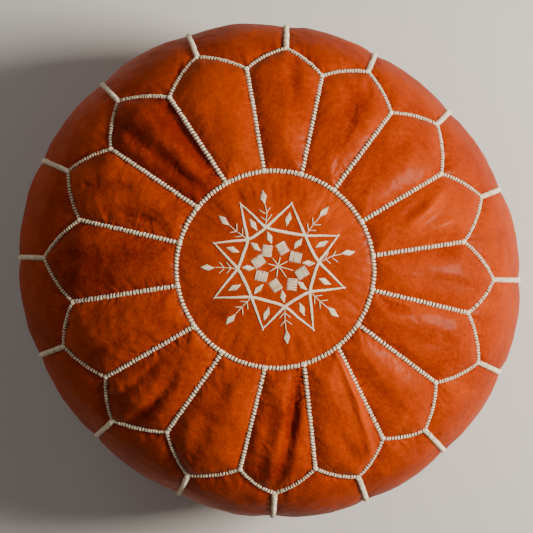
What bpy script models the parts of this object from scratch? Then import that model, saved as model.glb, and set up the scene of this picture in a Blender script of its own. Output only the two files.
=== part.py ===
"""Moroccan leather pouf: a round, firmly stuffed floor cushion.

A round medallion and sixteen scalloped petals make the top, sixteen tall panels make the
side, and two half discs make the base, with a zip between them. Braided thread covers
every seam that shows. Inside are a cotton lining and the wadding.

Metres, +Z up. The origin is on the floor, under the middle of the pouf.
"""

from math import cos, hypot, pi, radians, sin, tau

import bmesh
import bpy
import numpy as np
from mathutils import Matrix, Vector

# Overall shape
OUTER_RADIUS = 0.272          # mean radius where the pouf is widest
HEIGHT = 0.330
GIRTH_HEIGHT = 0.165          # height of the widest place
TOP_FULLNESS = 2.6            # superellipse power of the upper half: 2 is an ellipse
FOOT_FULLNESS = 2.2           # the same for the lower half
BASE_RADIUS = 0.165           # leather base disc
TURN_UNDER = 0.006            # how far the side panels lie flat on the floor outside it
OVAL = 0.025                  # the outline is this much out of round
OVAL_LONG_WAY = radians(144)
CORNERS = 0.005               # and this much four-cornered

# Panels and their seams
PANELS = 16
FIRST_SEAM = radians(9.5)
LEATHER = 0.002
SEAM_GAP = 0.0004             # between two panels, edge to edge
CLEARANCE = 0.0003            # between any two pieces that rest on each other
MEDALLION_RADIUS = 0.102
MEDALLION_CENTRE = Vector((0.0055, 0.0015))   # sewn in a little off centre
RIM_BORDER = 0.034            # from the scallops' outermost points to the widest outline
SCALLOP_DEPTH = 0.028         # from a scallop's outermost point in to the next notch
SCALLOP_BOW = 0.003           # how far each half of a scallop curves outward

# The seams are sewn by hand and wander. Each list goes round from the first seam:
# how many degrees a seam leads its even place, and how many millimetres it reaches out.
PETAL_LEAD_AT_MEDALLION = (-1.5, -3, -1, -2.5, -3, -2.5, -3, -2.5, 0, 3, 3, 7, 7.5, 7, 2, 1)
PETAL_LEAD_AT_NOTCH = (-1, -2.5, -2, -2, -3, -2, -2, -2, -0.5, 1, 3, 4.5, 3.5, 2, 1.5, 1)
SIDE_SEAM_LEAD = (-1.5, -2, -2, -2.5, -2, -1.5, -2, -1.5, -0.5, 0.5, 2.5, 3, 2.5, 1, 0.5, -0.5)
NOTCH_REACH = (-4, 0, 4, 5, 4, -1, -2, -6, -1, -2, -6, 3, 3, 1, -2, 1)
SCALLOP_REACH = (3, 5, 4, 1, 1, 1, -3, 0, -3, -2, 1, 0, -1, -5, 1, -2)
LEAD_LEFT_AT_FOOT = 0.3       # share of a side seam's lead that is left at its foot

# Braided thread over the seams
BRAID_WIDTH = 0.0055
BRAID_EDGE = 0.0010           # height of the braid at its sides
BRAID_RIDGE = 0.0022          # and along its middle
BRAID_LIFT = 0.06             # the turned seam edges lift it by this share of its width
BRAID_FOOT_HEIGHT = 0.012     # the side braids stop this far above the floor

# Zip across the base; heights are above the floor, and its outer face looks down
SLOT_WIDTH = 0.0095           # between the folded edges of the two base halves
FOLD_HEIGHT = 0.0066          # of those folded edges
TAPE_THICKNESS = 0.0008
TAPE_WIDTH = 0.0125
TAPE_END_GAP = 0.0035         # from the tapes' ends to the rim of the base
ROW_SPACING = 0.0026          # between the two rows of coil
COIL_WIDTH = 0.0019
COIL_HEIGHT = 0.0017
STOP_LENGTH = 0.0025
STOP_DROP = 0.0010            # the stops stand this far below the coil
PULL_ROOM = 0.008             # from the tip of the pull to the rim of the base, at both ends
SLIDER_LENGTH = 0.010
SLIDER_PLATE = 0.0012
SLIDER_PLAY = 0.0005          # all round the coil and the tape
SLIDER_RAIL = 0.0006          # wall along each side of the slider
SLIDER_LIP = 0.0001           # the plates stand this far out past the rails
PIN_RADIUS = 0.0005
PIN_PLAY = 0.0003
EYE_WALL = 0.0005
PULL_LENGTH = 0.022
PULL_WIDTH = 0.0052
PULL_THICKNESS = 0.0012
PULL_NECK = 0.0016            # from the eye to where the tab widens
PULL_CORNER = 0.0018
SLIDER_CORNER = 0.0012
LUG_INNER = 0.0015            # from the middle to the lugs that hold the pin
CHEEK = 0.0008                # thickness of those lugs

# Filling
LINING = 0.001
LINING_EASE = 0.0020          # between the leather's flat facets and the lining
FILLING_SETBACK = 0.0006      # from the lining's inner face to the wadding

# Facets
HALF_SCALLOP_STEPS = 2
PANEL_STEPS = 2 * HALF_SCALLOP_STEPS
PETAL_ROWS = 5
SIDE_ROWS = 9
MEDALLION_RINGS = 3
BAG_FACETS = 32
BAG_ROWS = 12
ROUND_SIDES = 16
CORNER_STEPS = 3
TOUCHING = 0.00001            # two points closer than this are one

# Worked out from the sizes above
PITCH = tau / PANELS
FOOT_RADIUS = BASE_RADIUS + TURN_UNDER
SCALLOP_RADIUS = OUTER_RADIUS - RIM_BORDER
NOTCH_RADIUS = SCALLOP_RADIUS - SCALLOP_DEPTH
BRAID_SEAT = CLEARANCE + BRAID_LIFT * BRAID_WIDTH
TAPE_BOTTOM = FOLD_HEIGHT + CLEARANCE
COIL_TOP = TAPE_BOTTOM - CLEARANCE
COIL_BOTTOM = COIL_TOP - COIL_HEIGHT
COIL_INNER = ROW_SPACING / 2
COIL_OUTER = COIL_INNER + COIL_WIDTH
PLATE_TOP = COIL_BOTTOM - SLIDER_PLAY
PLATE_BOTTOM = PLATE_TOP - SLIDER_PLATE
EYE_RADIUS = PIN_RADIUS + PIN_PLAY + EYE_WALL
PIN_HEIGHT = PLATE_BOTTOM - CLEARANCE - EYE_RADIUS
SLIDER_END = BASE_RADIUS - PULL_LENGTH - PULL_ROOM
SLIDER_START = -SLIDER_END

# Colours: linear red, green, blue
COGNAC = (0.50, 0.105, 0.016)
CREAM = (0.80, 0.73, 0.58)
BROWN = (0.16, 0.060, 0.022)
COTTON = (0.74, 0.69, 0.58)
WADDING = (0.83, 0.81, 0.76)
BRASS = (0.62, 0.44, 0.19)


def clear_scene():
    for item in list(bpy.data.objects):
        bpy.data.objects.remove(item)


def make_material(name, colour, roughness, metallic=0.0):
    material = bpy.data.materials.new(name)
    material.use_nodes = True
    shader = material.node_tree.nodes["Principled BSDF"]
    shader.inputs["Base Color"].default_value = (*colour, 1.0)
    shader.inputs["Roughness"].default_value = roughness
    shader.inputs["Metallic"].default_value = metallic
    return material


def add_object(name, bm, colour, roughness, metallic=0.0, smooth=True):
    """Turn a bmesh into an object of that name, with its own material."""
    bmesh.ops.recalc_face_normals(bm, faces=bm.faces)
    mesh = bpy.data.meshes.new(name)
    bm.to_mesh(mesh)
    bm.free()
    if smooth:
        mesh.shade_smooth()
        mesh.set_sharp_from_angle(angle=radians(35))
    mesh.materials.append(make_material(name, colour, roughness, metallic))
    item = bpy.data.objects.new(name, mesh)
    bpy.context.scene.collection.objects.link(item)
    return item


# --- The pouf's outer surface -------------------------------------------------------

def make_profile():
    """Radius and height of the outline from the top's middle round to the base's middle."""
    turn = np.linspace(0.0, pi / 2, 240)
    rising = np.abs(np.sin(turn))
    falling = np.abs(np.cos(turn))
    top_radius = OUTER_RADIUS * rising ** (2 / TOP_FULLNESS)
    top_height = GIRTH_HEIGHT + (HEIGHT - GIRTH_HEIGHT) * falling ** (2 / TOP_FULLNESS)
    foot_radius = FOOT_RADIUS + (OUTER_RADIUS - FOOT_RADIUS) * falling ** (2 / FOOT_FULLNESS)
    foot_height = GIRTH_HEIGHT * (1 - rising ** (2 / FOOT_FULLNESS))
    radius = np.concatenate([top_radius, foot_radius[1:], [0.0]])
    height = np.concatenate([top_height, foot_height[1:], [0.0]])
    return radius, height


PROFILE_RADIUS, PROFILE_HEIGHT = make_profile()
PROFILE_STEP = np.hypot(np.diff(PROFILE_RADIUS), np.diff(PROFILE_HEIGHT))
PROFILE_LENGTH = np.concatenate([[0.0], np.cumsum(PROFILE_STEP)])
GIRTH_INDEX = int(np.argmax(PROFILE_RADIUS))


def length_at_radius(radius):
    """Distance down the outline from the top's middle, for a radius on the upper half."""
    upper = slice(0, GIRTH_INDEX + 1)
    return float(np.interp(radius, PROFILE_RADIUS[upper], PROFILE_LENGTH[upper]))


def length_at_height(height):
    """The same for a height on the lower half."""
    lower = slice(GIRTH_INDEX, None)
    return float(np.interp(-height, -PROFILE_HEIGHT[lower], PROFILE_LENGTH[lower]))


FOOT_LENGTH = PROFILE_LENGTH[-1] - BASE_RADIUS


def facet_depth():
    """How far the flat facets of the panels lie inside the true curved surface, at most."""
    span = (FOOT_LENGTH - length_at_radius(NOTCH_RADIUS)) / SIDE_ROWS
    starts = np.linspace(0.0, PROFILE_LENGTH[-1] - span, 200)
    deepest = 0.0
    for line in (PROFILE_RADIUS, PROFILE_HEIGHT):
        ends = np.interp(starts, PROFILE_LENGTH, line) + np.interp(starts + span, PROFILE_LENGTH, line)
        middle = np.interp(starts + span / 2, PROFILE_LENGTH, line)
        deepest += (middle - ends / 2) ** 2
    round_depth = OUTER_RADIUS * (1 - cos(pi / (PANELS * PANEL_STEPS)))
    return float(np.sqrt(np.max(deepest))) + round_depth


def out_of_round(angle):
    oval = OVAL * cos(2 * (angle - OVAL_LONG_WAY))
    return oval + CORNERS * cos(4 * angle)


def surface_normal(angle, length):
    """Outward direction at an angle round the pouf and a length down its outline."""
    reach = 0.002
    before = max(length - reach, 0.0)
    after = min(length + reach, PROFILE_LENGTH[-1])
    run = float(np.diff(np.interp([before, after], PROFILE_LENGTH, PROFILE_RADIUS))[0])
    rise = float(np.diff(np.interp([before, after], PROFILE_LENGTH, PROFILE_HEIGHT))[0])
    outward = -rise / hypot(run, rise)
    upward = run / hypot(run, rise)
    return Vector((outward * cos(angle), outward * sin(angle), upward))


def surface_point(angle, length, setback=0.0):
    """Point on the outer surface, or set back inside it."""
    radius = float(np.interp(length, PROFILE_LENGTH, PROFILE_RADIUS))
    height = float(np.interp(length, PROFILE_LENGTH, PROFILE_HEIGHT))
    radius *= 1 + out_of_round(angle) * (radius / OUTER_RADIUS) ** 2
    outer = Vector((radius * cos(angle), radius * sin(angle), height))
    return outer - setback * surface_normal(angle, length)


# --- Where the seams run ------------------------------------------------------------
# A place on the top is a flat plan vector; a place on the side is (angle, length).

def plan(angle, radius):
    return Vector((radius * cos(angle), radius * sin(angle)))


def place_of(point):
    """Angle and length of a plan vector."""
    return np.arctan2(point.y, point.x), length_at_radius(point.length)


def seam_angle(number, leads):
    return FIRST_SEAM + PITCH * number + radians(leads[int(number) % PANELS])


def medallion_edge(panel, share):
    """Plan point on the medallion's edge, between two petal seams."""
    start = seam_angle(panel, PETAL_LEAD_AT_MEDALLION)
    end = seam_angle(panel + 1, PETAL_LEAD_AT_MEDALLION)
    return MEDALLION_CENTRE + plan(start + (end - start) * share, MEDALLION_RADIUS)


def notch(panel):
    """Plan point where a petal seam meets the two scallops beside it."""
    radius = NOTCH_RADIUS + NOTCH_REACH[panel % PANELS] / 1000
    return plan(seam_angle(panel, PETAL_LEAD_AT_NOTCH), radius)


def scallop_top(panel):
    """Plan point at the middle of a petal's outer edge, where a side seam starts."""
    radius = SCALLOP_RADIUS + SCALLOP_REACH[panel % PANELS] / 1000
    return plan(seam_angle(panel, SIDE_SEAM_LEAD) + PITCH / 2, radius)


def half_scallop(start, end, share):
    """Plan point on the bowed line between a notch and a scallop's top."""
    middle = (start + end) / 2
    across = Vector((end.y - start.y, start.x - end.x)).normalized()
    if across.dot(middle) < 0:
        across.negate()
    return start.lerp(end, share) + across * SCALLOP_BOW * 4 * share * (1 - share)


def scallop_edge(panel):
    """Plan points along a petal's outer edge, from its first seam to the next."""
    shares = [step / HALF_SCALLOP_STEPS for step in range(HALF_SCALLOP_STEPS + 1)]
    rise = [half_scallop(notch(panel), scallop_top(panel), share) for share in shares]
    fall = [half_scallop(scallop_top(panel), notch(panel + 1), share) for share in shares]
    return rise + fall[1:]


def side_top_edge(panel):
    """Plan points along a side panel's upper edge: two scallop halves and their notch."""
    before = scallop_edge(panel - 1)[HALF_SCALLOP_STEPS:]
    after = scallop_edge(panel)[:HALF_SCALLOP_STEPS + 1]
    return before + after[1:]


def foot_angle(panel):
    """Angle at which a side seam reaches the base."""
    lead = radians(SIDE_SEAM_LEAD[panel % PANELS])
    return FIRST_SEAM + PITCH * (panel + 0.5) + lead * LEAD_LEFT_AT_FOOT


def foot_edge(panel):
    """Angles along a side panel's lower edge."""
    start = foot_angle(panel - 1)
    end = foot_angle(panel)
    return [start + (end - start) * step / PANEL_STEPS for step in range(PANEL_STEPS + 1)]


def near_angle(angle, target):
    """The same angle, counted in the turn nearest to the target."""
    return angle + tau * round((target - angle) / tau)


def side_line(top, foot):
    """Places down a side panel from a plan point on its upper edge to an angle at its foot."""
    angle, length = place_of(top)
    angle = near_angle(angle, foot)
    shares = [row / SIDE_ROWS for row in range(SIDE_ROWS + 1)]
    return [(angle + (foot - angle) * share, length + (FOOT_LENGTH - length) * share)
            for share in shares]


# --- Leather ------------------------------------------------------------------------

def draw_in_edges(rows):
    """Shorten a grid of points by half a seam gap along each of its four edges."""
    half = SEAM_GAP / 2
    for line in rows + [list(column) for column in zip(*rows)]:
        first = (line[1] - line[0]).normalized() * half
        last = (line[-2] - line[-1]).normalized() * half
        line[0] += first
        line[-1] += last
    return rows


def add_sheet(name, places):
    """A panel of leather over a grid of places, as thick as the leather, closed all round."""
    outer = draw_in_edges([[surface_point(*place) for place in line] for line in places])
    inner = [[point - LEATHER * surface_normal(*place) for point, place in zip(points, line)]
             for points, line in zip(outer, places)]
    bm = bmesh.new()
    faces_out = [[bm.verts.new(point) for point in line] for line in outer]
    faces_in = [[bm.verts.new(point) for point in line] for line in inner]
    rows = len(places)
    columns = len(places[0])
    for grid in (faces_out, faces_in):
        for row in range(rows - 1):
            for column in range(columns - 1):
                corners = (grid[row][column], grid[row][column + 1],
                           grid[row + 1][column + 1], grid[row + 1][column])
                bm.faces.new(corners)
    rim = [(0, column) for column in range(columns)]
    rim += [(row, columns - 1) for row in range(1, rows)]
    rim += [(rows - 1, column) for column in range(columns - 2, -1, -1)]
    rim += [(row, 0) for row in range(rows - 2, 0, -1)]
    for (row, column), (next_row, next_column) in zip(rim, rim[1:] + rim[:1]):
        bm.faces.new((faces_out[row][column], faces_out[next_row][next_column],
                      faces_in[next_row][next_column], faces_in[row][column]))
    return add_object(name, bm, COGNAC, 0.42)


def add_petal(panel):
    """One top petal, from the medallion's edge out to its scalloped end."""
    inner_edge = [medallion_edge(panel, step / PANEL_STEPS) for step in range(PANEL_STEPS + 1)]
    outer_edge = scallop_edge(panel)
    places = []
    for row in range(PETAL_ROWS + 1):
        share = row / PETAL_ROWS
        places.append([place_of(start.lerp(end, share)) for start, end in zip(inner_edge, outer_edge)])
    add_sheet(f"top_petal_{panel + 1:02d}", places)


def add_side_panel(panel):
    """One side panel, from two scallop halves down round the side and just under the base."""
    columns = [side_line(top, foot) for top, foot in zip(side_top_edge(panel), foot_edge(panel))]
    places = [list(line) for line in zip(*columns)]
    add_sheet(f"side_panel_{panel + 1:02d}", places)


def add_medallion():
    """The round centre of the top, a shallow dish of leather."""
    edge = [medallion_edge(panel, step / PANEL_STEPS) - MEDALLION_CENTRE
            for panel in range(PANELS) for step in range(PANEL_STEPS)]
    bm = bmesh.new()
    rims = []
    for setback in (0.0, LEATHER):
        middle = bm.verts.new(surface_point(*place_of(MEDALLION_CENTRE), setback))
        inside = None
        for ring in range(1, MEDALLION_RINGS + 1):
            share = ring / MEDALLION_RINGS * (1 - SEAM_GAP / 2 / MEDALLION_RADIUS)
            loop = [bm.verts.new(surface_point(*place_of(MEDALLION_CENTRE + spoke * share), setback))
                    for spoke in edge]
            for index in range(len(loop)):
                if inside is None:
                    bm.faces.new((middle, loop[index - 1], loop[index]))
                else:
                    bm.faces.new((inside[index - 1], loop[index - 1], loop[index], inside[index]))
            inside = loop
        rims.append(inside)
    for index in range(len(edge)):
        bm.faces.new((rims[0][index - 1], rims[0][index], rims[1][index], rims[1][index - 1]))
    add_object("top_medallion", bm, COGNAC, 0.42)


def raise_faces(bm, faces, height):
    """Extrude faces straight up."""
    result = bmesh.ops.extrude_face_region(bm, geom=faces)["geom"]
    corners = [item for item in result if isinstance(item, bmesh.types.BMVert)]
    bmesh.ops.translate(bm, verts=corners, vec=(0, 0, height))
    return [item for item in result if isinstance(item, bmesh.types.BMFace)]


def add_base_half(name, side):
    """Half the base disc. Its straight edge is folded up into the pouf, beside the zip."""
    slot_edge = side * SLOT_WIDTH / 2
    fold_edge = side * (SLOT_WIDTH / 2 + LEATHER)
    bm = bmesh.new()
    rim = []
    for panel in range(PANELS):
        for angle in foot_edge(panel)[:-1]:
            point = surface_point(angle, FOOT_LENGTH)
            point *= 1 - SEAM_GAP / 2 / point.length
            rim.append(bm.verts.new((point.x, point.y, 0.0)))
    bm.faces.new(rim)
    bmesh.ops.bisect_plane(bm, geom=bm.verts[:] + bm.edges[:] + bm.faces[:],
                           plane_co=(0, slot_edge, 0), plane_no=(0, side, 0), clear_inner=True)
    bmesh.ops.bisect_plane(bm, geom=bm.verts[:] + bm.edges[:] + bm.faces[:],
                           plane_co=(0, fold_edge, 0), plane_no=(0, side, 0))
    bottom = bm.faces[:]
    top = raise_faces(bm, bottom, LEATHER)
    fold = min(top, key=lambda face: abs(face.calc_center_median().y))
    raise_faces(bm, [fold], FOLD_HEIGHT - LEATHER)
    bmesh.ops.delete(bm, geom=[fold], context="FACES_ONLY")
    add_object(name, bm, COGNAC, 0.45)


# --- Braids -------------------------------------------------------------------------

def braid_corners(point, normal, half_width):
    """Five corners of the braid's section: two on the leather, two above them, one ridge."""
    low = point + normal * BRAID_SEAT
    high = low + normal * BRAID_EDGE
    ridge = low + normal * BRAID_RIDGE
    return [low - half_width, high - half_width, ridge, high + half_width, low + half_width]


def half_width_at(points, index, normal):
    """Sideways half width of a braid at a point of its line, mitred where the line bends."""
    here = points[index]
    before = points[index - 1] if index > 0 else here
    after = points[index + 1] if index + 1 < len(points) else here
    arriving = (here - before if index > 0 else after - here).normalized()
    leaving = (after - here if index + 1 < len(points) else here - before).normalized()
    ahead = (arriving + leaving).normalized()
    across = normal.cross(ahead).normalized()
    return across * BRAID_WIDTH / 2 / ahead.dot(leaving)


def join_sections(bm, near, far):
    for index in range(5):
        bm.faces.new((near[index - 1], near[index], far[index], far[index - 1]))


def add_run(bm, start, places):
    """Lay braid from a ready section of vertices along places, and close its far end."""
    points = [surface_point(*place) for place in places]
    section = start
    for index in range(1, len(places)):
        normal = surface_normal(*places[index])
        corners = braid_corners(points[index], normal, half_width_at(points, index, normal))
        far = [bm.verts.new(corner) for corner in corners]
        join_sections(bm, section, far)
        section = far
    bm.faces.new(section)


def shorten(start, end, distance):
    """Share of the way from start to end that leaves the distance free at the end."""
    return 1 - distance / (end - start).length


def add_seam_braid(panel):
    """Braid over one petal seam, the scallop halves on both sides of its notch, and one side seam.

    It forks at the notch. One arm runs in to the medallion's braid, one ends against the
    braid before it, and one turns down the side seam and stops above the floor.
    """
    hub = notch(panel)
    inward_end = medallion_edge(panel, 0)
    inward_stop = shorten(hub, inward_end, BRAID_WIDTH / 2 + 2 * CLEARANCE)
    inward_shares = [row / PETAL_ROWS for row in range(PETAL_ROWS)] + [inward_stop]
    inward = [place_of(hub.lerp(inward_end, share)) for share in inward_shares]

    scallop_shares = [step / HALF_SCALLOP_STEPS for step in range(HALF_SCALLOP_STEPS + 1)]
    before_end = scallop_top(panel - 1)
    before_stop = shorten(hub, before_end, 0.62 * BRAID_WIDTH + 2 * CLEARANCE)
    before = [place_of(half_scallop(hub, before_end, share)) for share in scallop_shares[:-1]]
    before.append(place_of(half_scallop(hub, before_end, before_stop)))

    after_end = scallop_top(panel)
    after = [place_of(half_scallop(hub, after_end, share)) for share in scallop_shares]
    down = side_line(after_end, foot_angle(panel))
    stop = length_at_height(BRAID_FOOT_HEIGHT)
    steps = [place for place in down[1:] if place[1] < stop - CLEARANCE]
    share = (stop - down[0][1]) / (FOOT_LENGTH - down[0][1])
    last = (down[0][0] + (down[-1][0] - down[0][0]) * share, stop)
    after += steps + [last]

    centre = surface_point(*place_of(hub))
    normal = surface_normal(*place_of(hub))
    arms = [inward, before, after]     # anticlockwise from above
    headings = []
    for arm in arms:
        heading = surface_point(*arm[1]) - centre
        headings.append((heading - normal * heading.dot(normal)).normalized())
    bm = bmesh.new()
    low = []
    high = []
    for index in range(3):
        first = headings[index]
        second = headings[(index + 1) % 3]
        between = (first + second).normalized()
        spread = (1 - between.dot(first) ** 2) ** 0.5
        corner = centre + normal * BRAID_SEAT + between * BRAID_WIDTH / 2 / spread
        low.append(bm.verts.new(corner))
        high.append(bm.verts.new(corner + normal * BRAID_EDGE))
    ridge = bm.verts.new(centre + normal * (BRAID_SEAT + BRAID_RIDGE))
    bm.faces.new(low)
    for index, arm in enumerate(arms):
        # A section runs from its right side to its left, looking outward along the arm.
        right = index - 1
        left = index
        add_run(bm, [low[right], high[right], ridge, high[left], low[left]], arm)
    add_object(f"seam_braid_{panel + 1:02d}", bm, CREAM, 0.75)


def add_medallion_braid():
    """The ring of braid round the medallion."""
    places = [place_of(medallion_edge(panel, step / PANEL_STEPS))
              for panel in range(PANELS) for step in range(PANEL_STEPS)]
    points = [surface_point(*place) for place in places]
    bm = bmesh.new()
    sections = []
    for index, place in enumerate(places):
        normal = surface_normal(*place)
        trio = [points[index - 1], points[index], points[(index + 1) % len(points)]]
        corners = braid_corners(points[index], normal, half_width_at(trio, 1, normal))
        sections.append([bm.verts.new(corner) for corner in corners])
    for index in range(len(sections)):
        join_sections(bm, sections[index - 1], sections[index])
    add_object("medallion_braid", bm, CREAM, 0.75)


# --- Zip ----------------------------------------------------------------------------

def box(low, high):
    """A bmesh box between two corners."""
    bm = bmesh.new()
    size = Vector(high) - Vector(low)
    middle = (Vector(high) + Vector(low)) / 2
    bmesh.ops.create_cube(bm, size=1.0, matrix=Matrix.Translation(middle) @ Matrix.Diagonal((*size, 1.0)))
    return bm


def plate(low, high, corner_radius):
    """A box whose upright corners are rounded."""
    bm = box(low, high)
    upright = [edge for edge in bm.edges if abs(edge.verts[0].co.z - edge.verts[1].co.z) > TOUCHING]
    bmesh.ops.bevel(bm, geom=upright, offset=corner_radius, segments=CORNER_STEPS,
                    profile=0.5, affect="EDGES")
    return bm


def rod(radius, length, centre):
    """A bmesh cylinder along Y."""
    bm = bmesh.new()
    turn = Matrix.Translation(centre) @ Matrix.Rotation(pi / 2, 4, "X")
    bmesh.ops.create_cone(bm, cap_ends=True, segments=ROUND_SIDES, radius1=radius, radius2=radius,
                          depth=length, matrix=turn)
    return bm


def combine(item, bm, operation):
    """Join a shape to an object, or cut it away, with a Boolean modifier."""
    tool = add_object(f"{item.name}_tool_{len(item.modifiers)}", bm, BROWN, 0.5, smooth=False)
    tool.hide_render = True
    tool.display_type = "WIRE"
    tool.parent = item
    modifier = item.modifiers.new("shape", "BOOLEAN")
    modifier.operation = operation
    modifier.object = tool


def add_zip_side(name, side):
    """One tape and one row of nylon coil, with a stop moulded on each end of the row."""
    half_length = BASE_RADIUS - TAPE_END_GAP
    reach = sorted((side * COIL_INNER, side * (COIL_INNER + TAPE_WIDTH)))
    tape = box((-half_length, reach[0], TAPE_BOTTOM), (half_length, reach[1], TAPE_BOTTOM + TAPE_THICKNESS))
    add_object(f"zip_tape_{name}", tape, BROWN, 0.9)

    rows = sorted((side * COIL_INNER, side * COIL_OUTER))
    closed_stop = SLIDER_START - SLIDER_LENGTH / 2 - CLEARANCE
    open_stop = SLIDER_END + SLIDER_LENGTH / 2 + CLEARANCE
    coil_top = COIL_TOP - CLEARANCE
    outline = [(closed_stop - STOP_LENGTH, coil_top), (open_stop + STOP_LENGTH, coil_top),
               (open_stop + STOP_LENGTH, COIL_BOTTOM - STOP_DROP), (open_stop, COIL_BOTTOM - STOP_DROP),
               (open_stop, COIL_BOTTOM), (closed_stop, COIL_BOTTOM),
               (closed_stop, COIL_BOTTOM - STOP_DROP), (closed_stop - STOP_LENGTH, COIL_BOTTOM - STOP_DROP)]
    bm = bmesh.new()
    near = [bm.verts.new((x, rows[0], z)) for x, z in outline]
    far = [bm.verts.new((x, rows[1], z)) for x, z in outline]
    bm.faces.new(near)
    bm.faces.new(far)
    for index in range(len(outline)):
        bm.faces.new((near[index - 1], near[index], far[index], far[index - 1]))
    add_object(f"zip_coil_{name}", bm, BROWN, 0.35)


def add_slider():
    """The slider: two plates joined by a wedge that parts the rows, rails, and a pin on lugs.

    Its own origin is the middle of the lower plate's inner face.
    """
    half_length = SLIDER_LENGTH / 2
    channel = COIL_OUTER + SLIDER_PLAY
    half_width = channel + SLIDER_RAIL + SLIDER_LIP
    wedge = COIL_INNER - SLIDER_PLAY
    inside_plate = -SLIDER_PLATE / 2
    rail_top = TAPE_BOTTOM - SLIDER_PLAY - PLATE_TOP
    upper_plate = TAPE_BOTTOM + TAPE_THICKNESS + SLIDER_PLAY - PLATE_TOP
    pin_height = PIN_HEIGHT - PLATE_TOP
    pin_room = PIN_RADIUS + CLEARANCE

    lower = plate((-half_length, -half_width, -SLIDER_PLATE), (half_length, half_width, 0), SLIDER_CORNER)
    slider = add_object("zip_slider", lower, BRASS, 0.35, 1.0, smooth=False)
    slider.location = (SLIDER_START, 0, PLATE_TOP)
    for side in (-1, 1):
        rail = sorted((side * channel, side * (channel + SLIDER_RAIL)))
        rail_end = half_length - SLIDER_CORNER
        combine(slider, box((-rail_end, rail[0], inside_plate), (rail_end, rail[1], rail_top)), "UNION")
        lug = sorted((side * LUG_INNER, side * (LUG_INNER + CHEEK)))
        combine(slider, box((-EYE_RADIUS, lug[0], pin_height - pin_room),
                            (EYE_RADIUS, lug[1], inside_plate)), "UNION")
    combine(slider, box((0, -wedge, inside_plate),
                        (rail_end, wedge, upper_plate + SLIDER_PLATE / 2)), "UNION")
    combine(slider, plate((-half_length, -half_width, upper_plate),
                          (half_length, half_width, upper_plate + SLIDER_PLATE), SLIDER_CORNER), "UNION")
    combine(slider, rod(PIN_RADIUS, 2 * LUG_INNER + CHEEK, Vector((0, 0, pin_height))), "UNION")
    return slider


def add_pull(slider):
    """The pull tab: an eye round the slider's pin, a neck, and a flat tab wider than the lugs.

    Its own origin is on the pin's axis.
    """
    half = PULL_THICKNESS / 2
    eye_half_width = LUG_INNER - CLEARANCE
    neck_half_width = eye_half_width - CLEARANCE
    shoulder = EYE_RADIUS + PULL_NECK
    overlap = PULL_NECK / 2
    pull = add_object("zip_pull", rod(EYE_RADIUS, 2 * eye_half_width, Vector((0, 0, 0))),
                      BRASS, 0.3, 1.0, smooth=False)
    pull.parent = slider
    pull.location = (0, 0, PIN_HEIGHT - PLATE_TOP)
    neck = box((0, -neck_half_width, -half), (shoulder + overlap, neck_half_width, half))
    combine(pull, neck, "UNION")
    tab = plate((shoulder, -PULL_WIDTH / 2, -half), (PULL_LENGTH, PULL_WIDTH / 2, half), PULL_CORNER)
    combine(pull, tab, "UNION")
    combine(pull, rod(PIN_RADIUS + PIN_PLAY, 3 * eye_half_width, Vector((0, 0, 0))), "DIFFERENCE")


# --- Lining and wadding -------------------------------------------------------------

def bag_surface(setback):
    """A closed bag shape, set back all round from the pouf's outer surface."""
    bm = bmesh.new()
    lengths = [PROFILE_LENGTH[-1] * row / BAG_ROWS for row in range(1, BAG_ROWS)]
    top = bm.verts.new(surface_point(0, 0, setback))
    loops = []
    for length in lengths:
        angles = [tau * facet / BAG_FACETS for facet in range(BAG_FACETS)]
        loops.append([bm.verts.new(surface_point(angle, length, setback)) for angle in angles])
    bottom = bm.verts.new(surface_point(0, PROFILE_LENGTH[-1], setback))
    for facet in range(BAG_FACETS):
        bm.faces.new((top, loops[0][facet - 1], loops[0][facet]))
        bm.faces.new((bottom, loops[-1][facet], loops[-1][facet - 1]))
    for upper, lower in zip(loops, loops[1:]):
        for facet in range(BAG_FACETS):
            bm.faces.new((upper[facet - 1], lower[facet - 1], lower[facet], upper[facet]))
    bmesh.ops.recalc_face_normals(bm, faces=bm.faces)
    return bm


def zip_space(margin):
    """The room over the zip that the lining and the wadding leave free."""
    half_width = COIL_INNER + TAPE_WIDTH + margin
    top = TAPE_BOTTOM + TAPE_THICKNESS + SLIDER_PLAY + SLIDER_PLATE + 2 * margin
    half_length = BASE_RADIUS + TURN_UNDER + margin
    return box((-half_length, -half_width, -0.01), (half_length, half_width, top))


def add_lining():
    """The cotton bag that holds the wadding; its mouth is over the zip."""
    setback = LEATHER + facet_depth() + LINING_EASE
    lining = add_object("lining", bag_surface(setback), COTTON, 0.95)
    combine(lining, bag_surface(setback + LINING), "DIFFERENCE")
    combine(lining, zip_space(0.001), "DIFFERENCE")
    return setback + LINING


def add_wadding(lining_inside):
    """The stuffing, packed firm, with a shallow channel over the zip."""
    wadding = add_object("stuffing", bag_surface(lining_inside + FILLING_SETBACK), WADDING, 1.0)
    combine(wadding, zip_space(0.002), "DIFFERENCE")


clear_scene()
add_medallion()
for number in range(PANELS):
    add_petal(number)
    add_side_panel(number)
    add_seam_braid(number)
add_medallion_braid()
add_base_half("base_half_left", 1)
add_base_half("base_half_right", -1)
add_zip_side("left", 1)
add_zip_side("right", -1)
add_pull(add_slider())
add_wadding(add_lining())
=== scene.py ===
"""Moroccan leather pouf: sixteen petals and sixteen side panels of cognac goatskin round an
embroidered medallion, sewn together under braided cream thread and stuffed firm."""

from math import cos, pi, radians, sin, sqrt, tau

import bmesh
import bpy
import numpy as np
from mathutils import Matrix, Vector, noise
from mathutils.bvhtree import BVHTree


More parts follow.
